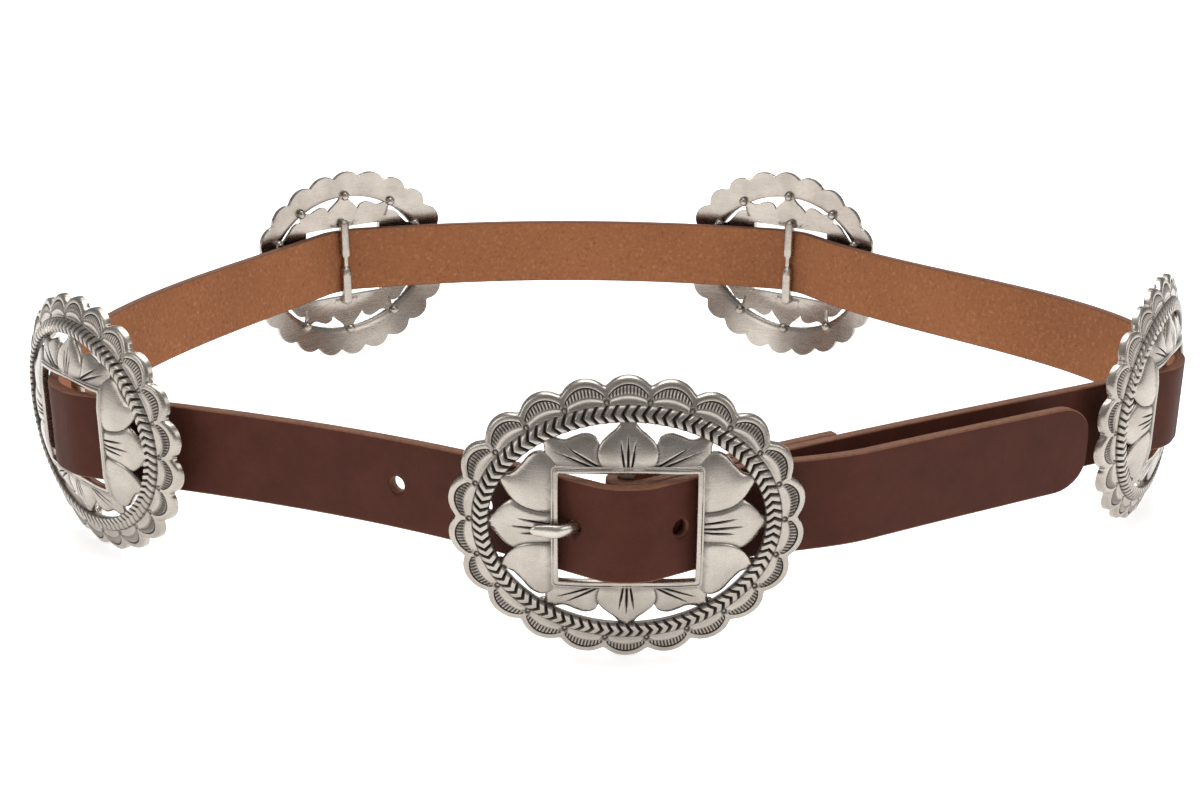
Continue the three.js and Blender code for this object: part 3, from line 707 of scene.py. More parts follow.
def silver_finish(name, bright, warm, rough, brushed):
    """Antique metal: bright and warm tones in slow clouds, brushed scratches in the gloss, and
    the dark and dull recesses, partly patina and partly painted shade."""
    finish, tree, shader = new_finish(name)
    tarnish = add(tree, "ShaderNodeAttribute", attribute_name="tarnish").outputs["Fac"]
    cloud = object_noise(tree, scale=90, detail=3, roughness=0.55)
    soot = object_noise(tree, scale=260, detail=4, roughness=0.6)
    scratch = object_noise(tree, scale=5200, detail=3, roughness=0.6, stretch=(0.02, 0.02, 1))
    satin = object_noise(tree, scale=2600, detail=2, roughness=0.5)
    metal = mixed(tree, ranged(tree, cloud, near=(0.35, 0.65), to=(0.0, 1.0)), bright, warm)
    clouded = mixed(tree, ranged(tree, soot, near=(0.52, 0.78), to=(0.0, 0.22)), metal, PATINA_AND_SHADE["film"])
    # The recesses' darkening mixes in the dark brown: patina together with painted shade.
    feed(tree, shader, "Base Color", mixed(tree, tarnish, clouded, PATINA_AND_SHADE["deep"]))
    feed(tree, shader, "Metallic", ranged(tree, tarnish, near=(0.0, 1.0), to=(1.0, 0.35)))
    strokes = ranged(tree, scratch, near=(0.35, 0.65), to=(-brushed, brushed))
    gloss = total(tree, strokes, ranged(tree, satin, near=(0.3, 0.7), to=(-0.03, 0.03)))
    dull = times(tree, tarnish, PATINA_AND_SHADE["dullness"])
    feed(tree, shader, "Roughness", total(tree, total(tree, gloss, rough), dull))
    bumped(tree, shader, total(tree, times(tree, scratch, 0.7), satin), strength=0.12, distance=0.00008)
    return finish


CAST = {"bright": linear(181, 173, 164), "warm": linear(165, 157, 148), "rough": 0.26, "brushed": 0.045}
WIRE_METAL = {"bright": linear(196, 189, 179), "warm": linear(184, 176, 165), "rough": 0.26, "brushed": 0.03}
cast_silver = silver_finish("cast_silver", **CAST)
wire_silver = silver_finish("wire_silver", **WIRE_METAL)
print("metal finishes:", cast_silver.name, wire_silver.name)

# %% [markdown]
# ## The ring of a plate
# The ring is one closed grid: its columns go round the oval, and its rows go from the lobes'
# outer edge over the stamped crescents, the hollow land and the twisted rope to the inner edge,
# and back under the plate. Rows that follow a crescent's own outline keep its edges crisp. The
# rope's rows are slid along the oval, so each strand follows its columns and makes a chevron.

# %% Along the ring
TICKS, PER_TICK, STRANDS, ELLIPSE_POINTS = 13, 4, 4, 4001
LOBE_STATIONS = TICKS * PER_TICK
STATIONS = LOBES * LOBE_STATIONS
HALF_CHORD, NOTCH_EXTRA, NOTCH_SHARP = 5.85, 0.3, 0.07
LOBE_RADIUS = (HALF_CHORD**2 + NOTCH**2) / (2 * NOTCH)


def ellipse_at(share):
    """Points of the plate's ellipse and its outward normals, at shares of its length."""
    turn = np.linspace(0, 2 * math.pi, ELLIPSE_POINTS)
    run = runs_along(PLATE_X * np.cos(turn), PLATE_Y * np.sin(turn))
    angle = np.interp(np.mod(share, 1) * run[-1], run, turn)
    spot = np.stack([PLATE_X * np.cos(angle), PLATE_Y * np.sin(angle)], axis=-1)
    normal = spot / np.array([PLATE_X, PLATE_Y]) ** 2
    return spot, normal / np.linalg.norm(normal, axis=-1, keepdims=True)


def dome(x, y):
    """How far the plate falls at a point: nothing round the window, then a power of the way out."""
    side, up = x / PLATE_X, y / PLATE_Y
    out = np.hypot(side, up)
    drop = (DROP_SIDE * side**2 + DROP_TOP * up**2) / np.maximum(out, 1e-6) ** 2
    return drop * (np.maximum(out - FLAT, 0) / (1 - FLAT)) ** FALL


def domed(points):
    """Flat points of a plate bent to its dome."""
    bent = np.array(points, float)
    bent[..., 2] -= dome(bent[..., 0], bent[..., 1])
    return bent


station = np.arange(STATIONS)
across = 2 * (station % LOBE_STATIONS) / LOBE_STATIONS - 1
edge = LOBE_RADIUS - np.sqrt(LOBE_RADIUS**2 - (HALF_CHORD * across) ** 2)
edge -= NOTCH_EXTRA * np.exp(-(((1 - np.abs(across)) / NOTCH_SHARP) ** 2))
print("stations round a plate:", STATIONS)

# %% The ring's stamped rows
# A crescent's middle falls towards its ends. The ticks' rows are shares of its half width, and
# the band is how far they reach. A dot is a ring stamp round a point at each notch.
CRESCENT = {"middle": 2.9, "fall": 2.2, "half": 1.1, "end": 0.93, "roundness": 0.55, "fades": 0.12}
TICK = {"sharpness": 1.4, "deep": 0.45, "bead": 0.16, "rows": (-0.66, -0.4, -0.13, 0.13, 0.4, 0.66)}
GROOVE, BAND, APART = 0.3, 0.84, 0.02
LAND = {"deep": 0.28, "roundness": 0.7, "rows": np.linspace(0, 1, 7)[1:-1]}
DOT = {"inside": 5.95, "radius": 0.8, "ring": 0.7, "width": 0.32, "deep": 0.3, "reach": HALF_CHORD - 0.6}


def crescent_rows():
    """Rows over the crescents: an outline groove round a band of ticks. A tick is the distance
    from the ridge between two, raised to a power. Each row is its distance inside the ellipse,
    its height and its darkening, patina and painted shade, at every station, as shares of shown,
    so all fades at the ends. The second value is where the land starts."""
    middle = CRESCENT["middle"] + CRESCENT["fall"] * across**2
    inner = np.clip(1 - (across / CRESCENT["end"]) ** 2, 0, 1)
    half = CRESCENT["half"] * inner ** CRESCENT["roundness"]
    shown = smooth(inner, 0.0, CRESCENT["fades"])
    tick = np.abs(2 * ((station % PER_TICK) / PER_TICK) - 1) ** TICK["sharpness"] * shown
    low, high = middle - half, middle + half
    rows = [
        (low - 0.34 * shown - APART, 0.06, 0.0),
        (low - 0.2 * shown, 0.0, 0.15 * shown),
        (low - 0.06 * shown, -0.26 * shown, shown),
        (middle - BAND * half, -GROOVE * shown, shown),
    ]
    for row in TICK["rows"]:
        bead = TICK["bead"] * (1 - row**4) * shown
        rows.append((middle + row * half, bead - TICK["deep"] * tick, tick))
    rows += [
        (middle + BAND * half, -GROOVE * tick, tick),
        (high, -0.2 * tick - 0.05 * shown, 0.9 * tick),
        (high + 0.14 * shown, -0.08 * shown, 0.4 * shown),
        (high + 0.4 * shown + APART, 0.0, 0.0),
    ]
    return rows, high + 0.42 * shown + APART


def land_rows(start, end):
    """Rows over the land: half a sine deep, with a ring stamp at each notch, which is a bell curve
    of the distance from a small circle."""
    rows = []
    for share in LAND["rows"]:
        inside = start + (end - start) * share
        height = -LAND["deep"] * math.sin(math.pi * share) ** LAND["roundness"]
        away = np.hypot((1 - np.abs(across)) * DOT["reach"], inside - DOT["inside"]) / DOT["radius"]
        groove = np.exp(-(((away - DOT["ring"]) / DOT["width"]) ** 2))
        rows.append((inside, height - DOT["deep"] * groove, groove))
    return rows


print("stamped rows:", len(crescent_rows()[0]) + len(LAND["rows"]))

# %% The rope's rows, and the ring from all its rows
ROPE_ROWS, STRAND_SLIDE, ROPE_SUNK = np.linspace(0, 1, 13), 1.75, 0.12
STRAND = {"edge": (0.1, 0.24), "deep": 0.85, "shallow": 0.35}
STRAND_SWELL = {"least": 0.8, "more": 0.3, "roundness": 0.6}
# FOOT_DARK darkens the rope's foot, where it meets the land: patina and painted shade.
ROPE_ARCH, ROPE_FOOT, FOOT_DARK = 0.8, 0.3, 0.7
# The land's last row: how far it lies before the rope, its height and its darkening, patina and painted
# shade.
LIP = {"before": 0.1, "height": -0.22, "dark": 0.5}
# How far each row lies inside the lobes' edge, and its height.
EDGE_ROWS = [(0.28, -PLATE_THICK), (0.02, 0.25 - PLATE_THICK), (0.0, -0.75)]
EDGE_ROWS += [(0.1, -0.3), (0.34, -0.04), (0.75, 0.07)]
# How far each row lies past the ring's width, its height and its darkening, patina and painted shade.
INNER_ROWS = [(0.06, -0.6, 0.6), (0.02, 0.3 - PLATE_THICK, 0.2), (-0.25, -PLATE_THICK, 0.0)]
UNDER_ROWS = (8.5, 6.0, 4.2)


def rope_rows(start):
    """Rows over the rope: half round, cut by a slanting groove between two strands. The slide is
    how far each row is moved along the ring, most at the rope's middle."""
    share = ROPE_ROWS
    arch = np.sqrt(np.maximum(1 - (2 * share - 1) ** 2, 0)) ** ROPE_ARCH
    strand = LOBE_STATIONS // STRANDS
    phase = (station % strand) / strand
    gap = np.minimum(phase, 1 - phase)
    groove = 1 - smooth(gap, *STRAND["edge"])
    round_over = np.sin(math.pi * phase) ** STRAND_SWELL["roundness"]
    swell = STRAND_SWELL["least"] + STRAND_SWELL["more"] * round_over
    slide = STRAND_SLIDE * (1 - np.abs(2 * share - 1))
    rows = []
    for k in range(len(share)):
        cut = STRAND["deep"] * groove * (STRAND["shallow"] + (1 - STRAND["shallow"]) * arch[k])
        dark = np.maximum(groove, FOOT_DARK * (arch[k] < ROPE_FOOT))
        rows.append((start + ROPE * share[k], ROPE_RISE * arch[k] * swell - cut - ROPE_SUNK, dark, slide[k]))
    return rows


def ring_part():
    """The ring as one closed grid of its rows: each point lies inside the ellipse along its own
    normal, at a share of its length that the row's slide moves."""
    land_end = RING - ROPE
    stamped, land_start = crescent_rows()
    rows = [(edge + inside, height, 0.0) for inside, height in EDGE_ROWS]
    rows += [*stamped, *land_rows(land_start, land_end)]
    rows += [(land_end - LIP["before"], LIP["height"], LIP["dark"]), *rope_rows(land_end + APART)]
    rows += [(RING + past, height, dark) for past, height, dark in INNER_ROWS]
    rows += [(inside, -PLATE_THICK, 0.0) for inside in UNDER_ROWS]
    length = math.pi * (PLATE_X + PLATE_Y)
    wide = [[np.broadcast_to(value, station.shape) for value in row[:3]] for row in rows]
    inside, height, tarnish = np.swapaxes(wide, 0, 1)
    slide = np.array([row[3] if len(row) > 3 else 0.0 for row in rows])[:, None]
    spot, normal = ellipse_at(station / STATIONS + slide / length)
    flat = np.concatenate([spot - inside[..., None] * normal, height[..., None]], axis=-1)
    made = grid(domed(flat), close_rows=True, close_columns=True, tarnish=tarnish.ravel())
    return facing_out(made)


ring = ring_part()
print("ring, faces:", len(ring["faces"]))

# %% [markdown]
# ## The petals
# Each petal is a fan: rays leave a point behind the window's frame and end on the petal's
# outline, so engraved veins are simply rays that are pressed down. The outline is a smooth curve
# through a few points. One quarter of the plate has four petals, and the rest are mirrored.

# %% Outlines of the petals
INNER = np.array([PLATE_X - RING, PLATE_Y - RING])
ROOT_X, ROOT_Y = WINDOW_X + WINDOW_FRAME - ROOTED, WINDOW_Y + WINDOW_FRAME - ROOTED

# Each vein is a direction in degrees, where it starts and ends along the petal, and half its width.
PETALS = {
    "top_middle": {
        "from": (0.0, 9.7),
        "outline": [(6.3, ROOT_Y), (7.5, 18.9), (6.9, 21.7), (5.1, 23.7),
                    (3.0, 25.5), (1.7, 27.5), (2.1, 29.2)],
        "both": "x",
        "top": -0.02,
        "veins": [(90.0, 15.9, 23.8, 0.52), (98.3, 15.9, 22.5, 0.46), (81.7, 15.9, 22.5, 0.46)],
    },
    "top_side": {
        "from": (4.0, 14.3),
        "outline": [(19.5, ROOT_Y), (20.5, 18.0), (20.9, 21.0), (22.4, 24.2), (19.0, 23.2), (15.9, 22.4),
                    (13.0, 23.5), (10.6, 24.2), (8.2, 23.5), (6.4, 21.3), (5.0, 18.5), (4.3, ROOT_Y)],
        "top": -0.3,
        "veins": [(30.5, 15.6, 20.8, 0.46), (21.0, 15.6, 19.4, 0.42)],
    },
    "side_upper": {
        "from": (13.5, 9.5),
        "outline": [(ROOT_X, 4.1), (22.6, 4.3), (26.6, 5.3), (29.5, 7.5), (31.6, 10.3), (34.6, 13.2),
                    (29.8, 13.0), (26.9, 15.3), (24.4, 18.2), (22.0, 19.3), (20.0, 18.9), (ROOT_X, 17.4)],
        "top": -0.02,
        "veins": [],
    },
    "side_middle": {
        "from": (8.0, 0.0),
        "outline": [(ROOT_X, 4.6), (23.0, 6.6), (27.3, 7.2), (30.6, 5.5),
                    (32.8, 3.4), (34.5, 1.7), (37.4, 1.2)],
        "both": "y",
        "top": -0.35,
        "veins": [(-0.8, 19.2, 28.6, 0.42), (5.8, 19.2, 26.8, 0.4), (-6.0, 19.2, 26.8, 0.4)],
    },
}


def through(points, steps=12):
    """A smooth curve through points: between two of them, the cubic whose ends' slopes are half
    the way between their neighbours."""
    p = np.asarray(points, float)
    p = np.vstack([2 * p[0] - p[1], p, 2 * p[-1] - p[-2]])
    t = (np.arange(steps) / steps)[:, None, None]
    a, b, c, d = p[:-3], p[1:-2], p[2:-1], p[3:]
    curve = b + 0.5 * t * (c - a) + t**2 * (a - 2.5 * b + 2 * c - 0.5 * d)
    curve += t**3 * (1.5 * (b - c) + 0.5 * (d - a))
    return np.vstack([np.swapaxes(curve, 0, 1).reshape(-1, p.shape[1]), p[-2]])


def whole_outline(petal):
    """A petal's outline as a dense curve, both halves where it is symmetrical."""
    curve = through(petal["outline"])
    if petal.get("both") == "x":
        curve = np.vstack([curve, curve[::-1] * [-1, 1]])
    if petal.get("both") == "y":
        curve = np.vstack([curve * [1, -1], curve[::-1]])
    return curve


def distance(points, line):
    """The distance from each point to the nearest stretch of a line."""
    a, b = line[:-1], line[1:]
    way = b - a
    share = np.einsum("ijk,jk->ij", points[:, None] - a, way) / np.maximum((way**2).sum(1), 1e-12)
    near = a + np.clip(share, 0, 1)[..., None] * way
    return np.sqrt(((points[:, None] - near) ** 2).sum(-1)).min(1)


SOFT_LEAST, SOFT_FROM, SOFT_TO = 0.05, 0.2, 1.0


def softened(points, line):
    """The distance to a line, made smooth between two near sides: each stretch counts as its
    length over the distance's fourth power, and one long straight side gives its own distance."""
    middle, length = (line[:-1] + line[1:]) / 2, np.linalg.norm(np.diff(line, axis=0), axis=1)
    away = np.maximum(np.linalg.norm(points[:, None] - middle, axis=2), SOFT_LEAST)
    far = ((length / away**4).sum(1) / (math.pi / 2)) ** (-1 / 3)
    near = distance(points, line)
    return near + (far - near) * smooth(near, SOFT_FROM, SOFT_TO)


print("petals in a quarter:", list(PETALS))

# %% Rays and veins of a petal
RAYS, RINGS, VEIN_LINES = 44, 15, np.array([-1.0, -0.5, 0.0, 0.5, 1.0])
VEIN = {"ends_round": 0.3, "fades": 0.12, "least": 0.01}


def ray_turns(petal, low, high):
    """The rays' directions: even ones, with five more at each vein to cut its V. A vein's width
    is an angle at its middle, seen from where the rays start."""
    turns = [np.linspace(low, high, RAYS)]
    source = petal["from"][1 if petal.get("both") == "x" else 0]
    for turn, start, end, width in petal["veins"]:
        spread = math.degrees(width / ((start + end) / 2 - source))
        turns.append(turn + spread * VEIN_LINES)
    joined = np.unique(np.concatenate(turns))
    return joined[(joined >= low) & (joined <= high)]


def vein_depth(petal, points):
    """How deep the veins are at a point, from 0 to 1: a V across each ray, which narrows to
    nothing at its outer end."""
    away = points - np.array(petal["from"])
    run = np.hypot(*away.T)
    turn = np.degrees(np.arctan2(away[:, 1], away[:, 0]))
    from_axis = points[:, petal["axis"]]
    depth = np.zeros(len(points))
    for vein_turn, start, end, width in petal["veins"]:
        off = np.abs(np.radians(turn - vein_turn)) * run
        left = np.clip((end - from_axis) / (end - start), 0, 1)
        wide = width * (0.5 + 0.5 * np.sin(math.pi * left)) * left ** VEIN["ends_round"]
        cut = np.clip(1 - off / np.maximum(wide, VEIN["least"]), 0, 1)
        depth = np.maximum(depth, cut * (from_axis < end) * smooth(left, 0, VEIN["fades"]))
    return depth


print("rays at least:", RAYS, "rings:", RINGS)

# %% Petals as fans
PILLOW = {"rise": 0.75, "width": 2.1, "edge": 0.2, "edge_width": 0.22, "rings_bunch": 1.5}
VEIN_DEEP, VEIN_DARK = 0.5, 0.45
# A seam where one petal lies on another: a sunk groove, and painted shadow of the upper petal's edge.
SEAM_AND_SHADOW = {"deep": 0.3, "width": 0.6, "dark": 0.95, "shadow_width": 0.38}
FRAME_LIP, FRAME_SHADE, FRAME_SHADE_WIDTH = 0.5, 0.4, 0.7
WALL_LEVELS = (-1.3, 0.2 - PLATE_THICK)
BACK_SHARES = (0.985, 0.85, 0.7, 0.55, 0.4, 0.2, 0.0)


def petal_part(petal, over=None):
    """A petal as a closed fan: the front rises from its outline as 1 less an exponential of the
    distance, a wall goes down from the outline, and the back is flat. over is the outline of the
    petal that lies on it, along which this one is sunk and darkened with painted shadow, and
    painted shade along the frame's edge darkens the rays' roots."""
    outline = whole_outline(petal)
    source = np.array(petal["from"])
    away = outline - source
    turn = np.degrees(np.arctan2(away[:, 1], away[:, 0]))
    order = np.argsort(turn)
    low, high = turn.min(), turn.max()
    rays = ray_turns(petal, low, high)
    reach = np.interp(rays, turn[order], np.hypot(*away[order].T))
    way = np.stack([np.cos(np.radians(rays)), np.sin(np.radians(rays))], axis=-1)
    axis = petal["axis"]
    root = (ROOT_X, ROOT_Y)[axis]
    start = np.minimum((root - source[axis]) / np.maximum(way[:, axis], 1e-3), reach)
    share = 1 - (1 - np.linspace(0, 1, RINGS)) ** PILLOW["rings_bunch"]
    out = start + (reach - start) * share[:, None]
    front = source + out[..., None] * way
    flat = front.reshape(-1, 2)
    pillow = PILLOW["rise"] * np.exp(-softened(flat, outline) / PILLOW["width"])
    rounding = PILLOW["edge"] * np.exp(-distance(flat, outline) / PILLOW["edge_width"])
    depth = vein_depth(petal, flat)
    height = petal["top"] - pillow - rounding - VEIN_DEEP * depth
    dark = smooth(depth, 0.0, VEIN_DARK)
    # Along the outline of the petal that lies on this one, the surface is sunk a little and darkened as
    # painted shadow of the upper petal.
    if over is not None:
        seam = distance(np.abs(flat), over)
        dark = np.maximum(dark, SEAM_AND_SHADOW["dark"] * np.exp(-((seam / SEAM_AND_SHADOW["shadow_width"]) ** 2)))
        height -= SEAM_AND_SHADOW["deep"] * np.exp(-((seam / SEAM_AND_SHADOW["width"]) ** 2))
    # Painted shade on the rays' roots, where the petal meets the window's frame.
    frame_edge = flat[:, axis] - (WINDOW_X, WINDOW_Y)[axis] - WINDOW_FRAME - FRAME_LIP
    dark = np.maximum(dark, FRAME_SHADE * np.exp(-((frame_edge / FRAME_SHADE_WIDTH) ** 2)))
    top = np.column_stack([flat, height]).reshape(*front.shape[:2], 3)
    levels = [(1.0, level) for level in WALL_LEVELS] + [(inner, -PLATE_THICK) for inner in BACK_SHARES]
    under = []
    for inner, level in levels:
        spot = source + (start + (reach - start) * inner)[:, None] * way
        under.append(np.column_stack([spot, np.full(len(rays), level)]))
    points = np.concatenate([top, np.stack(under)])
    tarnish = np.concatenate([dark, np.zeros(len(rays) * len(levels))])
    return facing_out(grid(domed(points), close_rows=True, tarnish=tarnish))


def turned(part, sign_x, sign_y):
    """The same part in another quarter of the plate, its faces turned over where it is mirrored."""
    faces = part["faces"] if sign_x * sign_y > 0 else part["faces"][:, ::-1]
    return {**part, "points": part["points"] * [sign_x, sign_y, 1], "faces": faces}


for name, petal in PETALS.items():
    petal["axis"] = 1 if name.startswith("top") else 0
QUARTERS = {"x": [(1, 1), (1, -1)], "y": [(1, 1), (-1, 1)], None: [(1, 1), (-1, 1), (1, -1), (-1, -1)]}
LIES_OVER = {"top_middle": None, "side_upper": None, "top_side": "top_middle", "side_middle": "side_upper"}
petals = []
for name, upper in LIES_OVER.items():
    part = petal_part(PETALS[name], whole_outline(PETALS[upper]) if upper else None)
    petals += [turned(part, *signs) for signs in QUARTERS[PETALS[name].get("both")]]
print("petals:", len(petals), "faces:", sum(len(part["faces"]) for part in petals))

# %% [markdown]
# ## Frame, bar and bosses
# The window's frame is a small moulding carried round a rectangle. The bar behind it is cast with
# rounded ends and a narrow neck, where the buckle's prong hangs. Round bosses on the back cover
# the places where the petals' tips meet the ring.

# %% Window frame, bar and bosses
# The moulding's profile: how far out from the window each point lies, its height and its darkening, patina
# and painted shade.
FRAME_PROFILE = [
    (0.0, -PLATE_THICK, 0.0), (0.0, -1.2, 0.0), (0.0, -0.22, 0.0), (0.1, -0.04, 0.0), (0.3, 0.05, 0.0),
    (0.95, 0.05, 0.0), (1.12, -0.04, 0.0), (1.22, -0.26, 0.9), (1.34, -0.1, 0.2), (1.5, -0.02, 0.0),
    (1.72, -0.08, 0.0), (1.88, -0.4, 0.5), (1.9, -1.0, 0.0), (1.9, -PLATE_THICK, 0.0),
]
CORNER_POINTS, SIDE_POINTS, FRAME_CORNER = 6, 14, 0.35
BAR_SIDES, BAR_END, BAR_SQUARE, END_POINTS, BAR_ROWS = 20, 1.9, 0.55, 8, (6.0, 12.0)
END_LEAST, END_THICK = 0.002, 0.35


def rectangle(half_x, half_y, radius):
    """Points round a rectangle with rounded corners, as many on each side and corner."""
    turn = np.linspace(0, math.pi / 2, CORNER_POINTS)
    quarter = radius * np.stack([np.cos(turn), np.sin(turn)], axis=-1)
    sides = []
    for k in range(4):
        c, s = round(math.cos(k * math.pi / 2)), round(math.sin(k * math.pi / 2))
        corner = np.array([[1, 1], [-1, 1], [-1, -1], [1, -1]][k]) * (np.array([half_x, half_y]) - radius)
        sides.append(corner + quarter @ np.array([[c, s], [-s, c]]))
    loop = []
    for k, side in enumerate(sides):
        after = sides[(k + 1) % 4][0]
        share = np.linspace(0, 1, SIDE_POINTS + 1)[1:-1, None]
        loop += [side, side[-1] + (after - side[-1]) * share]
    return np.vstack(loop)


def frame_part():
    """The moulding: each point of its profile is a rectangle, further out by that point's own
    distance from the window."""
    rows, tarnish = [], []
    for out, height, dark in FRAME_PROFILE:
        loop = rectangle(WINDOW_X + out, WINDOW_Y + out, FRAME_CORNER * (1 + out))
        rows.append(np.column_stack([loop, np.full(len(loop), height)]))
        tarnish.append(np.full(len(loop), dark))
    points = domed(np.stack(rows))
    return facing_out(grid(points, close_rows=True, close_columns=True, tarnish=np.concatenate(tarnish)))


def bar_part():
    """The bar: an upright tube whose section is a rounded square, which is a circle with its sine
    and cosine raised to a power, narrowed to its neck and rounded off at both ends."""
    end, narrow = WINDOW_Y + BAR_SEAT, NECK_HEIGHT / 2
    neck_rows = narrow + np.array([-0.5, 0.0, 0.25 * NECK_RAMP, NECK_RAMP])
    end_rows = end - BAR_END * (1 - np.sin(np.linspace(0, math.pi / 2, END_POINTS)))
    high = np.concatenate([neck_rows, BAR_ROWS, end_rows])
    y = np.concatenate([-high[::-1], high])
    near_end = np.clip((end - np.abs(y)) / BAR_END, 0, 1)
    rounding = np.sqrt(np.maximum(1 - (1 - near_end) ** 2, 0)) + END_LEAST
    neck = smooth(np.abs(y), narrow, narrow + NECK_RAMP)
    wide = (NECK_WIDTH + (BAR_WIDTH - NECK_WIDTH) * neck) / 2 * rounding
    thick = (NECK_WIDTH + (BAR_THICK - NECK_WIDTH) * neck) / 2 * (END_THICK + (1 - END_THICK) * rounding)
    square = [np.sign(part) * np.abs(part) ** BAR_SQUARE for part in circle(BAR_SIDES)]
    x, z = wide[:, None] * square[0], BAR_MIDDLE + thick[:, None] * square[1]
    points = np.stack([x, np.broadcast_to(y[:, None], x.shape), z], axis=-1)
    return facing_out(capped(points))


def capped(points):
    """A grid closed round its columns, with both ends drawn to a point."""
    ends = [np.broadcast_to(row.mean(0), row.shape) for row in (points[0], points[-1])]
    return grid(np.concatenate([ends[0][None], points, ends[1][None]]), close_columns=True)


def ball(centre, radius, rings=12, sides=18):
    """A ball of rings from pole to pole: a sine and a cosine of the turn down, and of the turn round."""
    down = np.linspace(0, math.pi, rings + 1)[1:-1, None]
    c, s = circle(sides)
    points = np.stack([np.sin(down) * c, np.sin(down) * s, np.cos(down) + 0 * c], axis=-1)
    poles = [np.broadcast_to([0.0, 0.0, sign], (1, sides, 3)) for sign in (1.0, -1.0)]
    points = np.concatenate([poles[0], points, poles[1]])
    return facing_out(grid(points * radius + centre, close_columns=True))


# Where the petals' tips meet the ring, as shares of its inner half axes, in one quarter.
TIP_SHARES = [(0, 1.02), (0.6, 0.85), (0.92, 0.46), (1.02, 0)]
bosses = []
for share in TIP_SHARES:
    for sign in {(1 if share[0] == 0 else x, 1 if share[1] == 0 else y) for x in (1, -1) for y in (1, -1)}:
        spot = np.array([*(INNER * share * sign), -PLATE_THICK - BOSS_SUNK])
        bosses.append(ball(domed(spot), BOSS_DIAMETER / 2))
bosses.sort(key=lambda part: tuple(part["points"][0]))
moulding, bar = frame_part(), bar_part()
print("bosses:", len(bosses))

# %% [markdown]
# ## The five plates
# All five plates are one casting, worked out flat and domed in its own frame: along the strap,
# up, and out from the wearer. Each one is then turned by its way and moved to its place.


# %% Put the plates in their places
def placed(part, place):
    """A plate's part in the model: out from the wearer becomes the plan's own outward way."""
    x, z, out = part["points"].T
    spots = np.column_stack([*spots_in_plan(place, x, -out), z])
    return {**part, "points": to_model(spots)}


PLATE_SHARP = 50.0
casting = [ring, *petals, moulding, bar, *bosses]
plates = {}
for place in PLACES:
    parts = [placed(part, place) for part in casting]
    plates[place["name"]] = piece(place["name"] + "_silver", parts, [cast_silver], PLATE_SHARP)

# %% [markdown]
# ## Prong and rivet
# The prong is a round wire that hooks round the bar's neck, comes up through the strap's hole and
# lies on the frame, where it is flattened to a blunt tip. It is a section carried along a smooth
# curve. The rivet behind the buckle is hidden, so it is a plain shank with two domed heads.

# %% The prong's route
HOOK_TURNS = np.radians([60, 90, 137.5, 180, 223.5, 270])
# Points by the hole, in shares of the wire: along the strap, and towards the wearer.
THROUGH = [(-2, 1.65), (0, 0), (1.6, -1.45)]


def prong_route():
    """The wire's points in the buckle's own frame: along the strap, and towards the wearer."""
    hook, middle = NECK_CORNER + CLEAR + WIRE, -BAR_MIDDLE
    hooked = np.column_stack([hook * np.cos(HOOK_TURNS), middle - hook * np.sin(HOOK_TURNS)])
    bend = arc(np.array([OVER_FLAT, OVER_LAYER, 0.0]), OVER_RADIUS, OVER_TURN)
    hole = ahead(bend[-1], HOLE_OFFSET - OVER_FLAT - OVER_RADIUS * OVER_TURN)
    on_frame = -WIRE - CLEAR
    route = [(PRONG_LOW, middle + hook)]
    route += [(hole[0] + on * WIRE, hole[1] + behind * WIRE) for on, behind in THROUGH]
    route += [(WINDOW_X, on_frame), (WINDOW_X + WINDOW_FRAME, on_frame), (PRONG_REACH, on_frame + TIP_DROP)]
    return np.vstack([hooked, route]) * [-1, 1]


print("points of the prong's route:", len(prong_route()))

# %% The prong's section, and the rivet
# The wire's height and thickness are shares of its radius. They change over lengths measured from
# the tip, and TALLER over lengths measured from the hook.
PRONG_STEPS, PRONG_SIDES, END_SHARE = 14, 24, 0.001
TIP_TALL, TIP_TALL_OVER, TIP_THICK, TIP_THICK_OVER, SHANK_THICK = 0.72, 6.0, 0.5, 8.0, 0.9
TIP_BLUNT, START_BLUNT, TALLER, TALLER_FROM, TALLER_TO = 1.4, 0.8, 0.28, 8.0, 13.0
PRONG_SHARP, RIVET_SHARP = 60.0, 40.0
HEAD_SHARES, HEAD_FALL, RIM_ROUND, RIM_INSET, SHANK_MARK = (0.8, 0.55, 0.3, 0.0), 0.3, 0.25, 0.1, 0.5


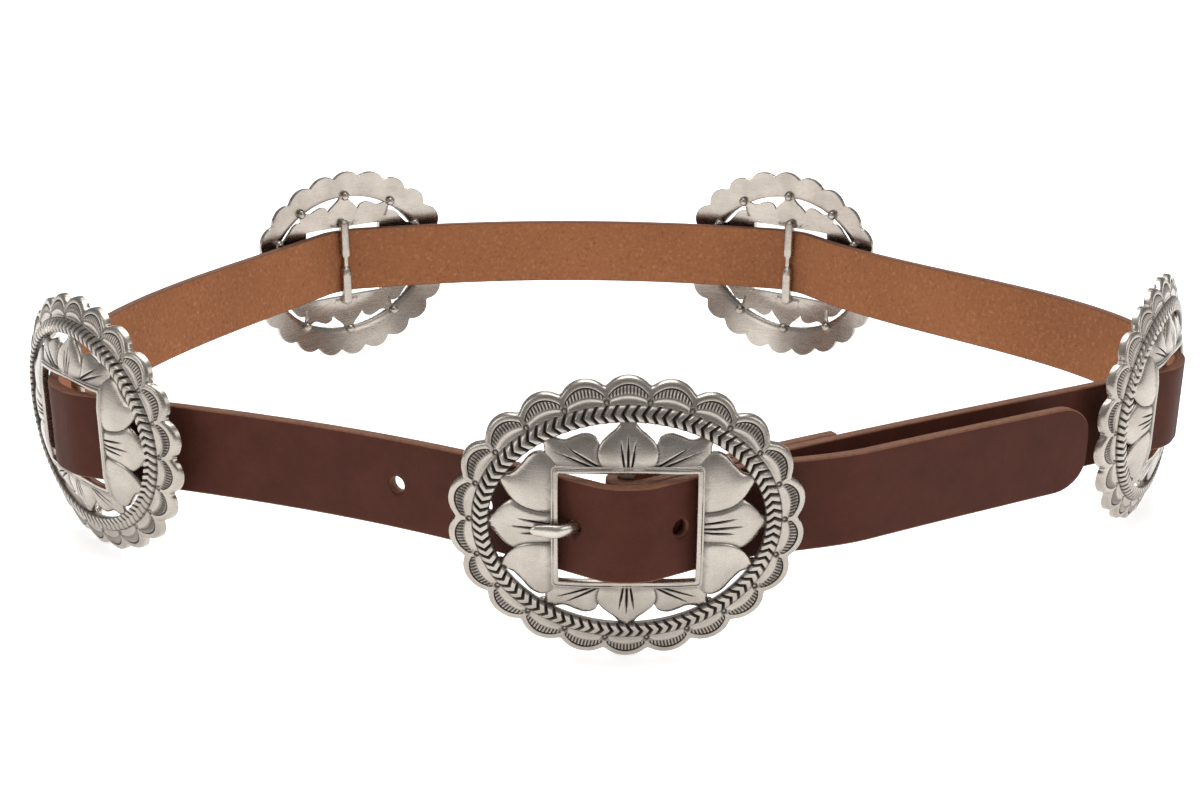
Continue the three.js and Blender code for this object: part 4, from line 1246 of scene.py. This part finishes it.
def prong_part():
    """The wire's section, an oval that is taller than it is thick past the hole and narrows to
    the tip, drawn square to the route. Each end is rounded by the root of the distance to it."""
    line = through(prong_route(), steps=PRONG_STEPS)
    run = runs_along(*line.T)
    end = run[-1] - run
    rounded = [np.sqrt(np.clip(left / over, 0, 1)) for left, over in ((end, TIP_BLUNT), (run, START_BLUNT))]
    ends = np.prod([END_SHARE + (1 - END_SHARE) * share for share in rounded], axis=0)
    tall = 1 + TALLER * smooth(run, TALLER_FROM, TALLER_TO)
    tall *= TIP_TALL + (1 - TIP_TALL) * smooth(end, 0.0, TIP_TALL_OVER)
    thick = TIP_THICK + (SHANK_THICK - TIP_THICK) * smooth(end, 0.0, TIP_THICK_OVER)
    c, s = circle(PRONG_SIDES)
    spots = drawn_square(line, c * (WIRE * thick * ends)[:, None], s * (WIRE * tall * ends)[:, None])
    x, y = spots_in_plan(BUCKLE, spots[..., 0], spots[..., 1])
    return facing_out(capped(to_model(np.stack([x, y, spots[..., 2]], axis=-1))))


def rivet_part():
    """The rivet turned round its pin: a shank between two domes, which fall by the square of the
    distance from the pin and have round rims."""
    seat = RIVET_GRIP / 2 + CLEAR
    top, rim, shank = seat + RIVET_HEAD_THICK, RIVET_HEAD / 2, RIVET_SHANK / 2
    half = [(shank, SHANK_MARK), (shank, seat), (rim - RIM_INSET, seat), (rim, seat + RIM_ROUND)]
    half += [(rim - RIM_ROUND, top - HEAD_FALL)]
    half += [(rim * share, top - HEAD_FALL * share**2) for share in HEAD_SHARES]
    return facing_out(turned_pin(rivet_spot, [(radius, -along) for radius, along in half[::-1]] + half))


prong = piece("prong_silver", [prong_part()], [wire_silver], PRONG_SHARP)
rivet = piece("rivet_silver", [rivet_part()], [wire_silver], RIVET_SHARP)

# %% [markdown]
# ## Hand the pieces to the model
# Each detailed piece stands for its plain solid, which is hidden, and rides on the belt's one body.

# %% Ride and replace
for name, plate in plates.items():
    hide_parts(name)
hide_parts("strap")
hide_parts("buckle_prong")
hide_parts("fold_rivet")
for made in (*plates.values(), strap, prong, rivet):
    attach(made, "root")
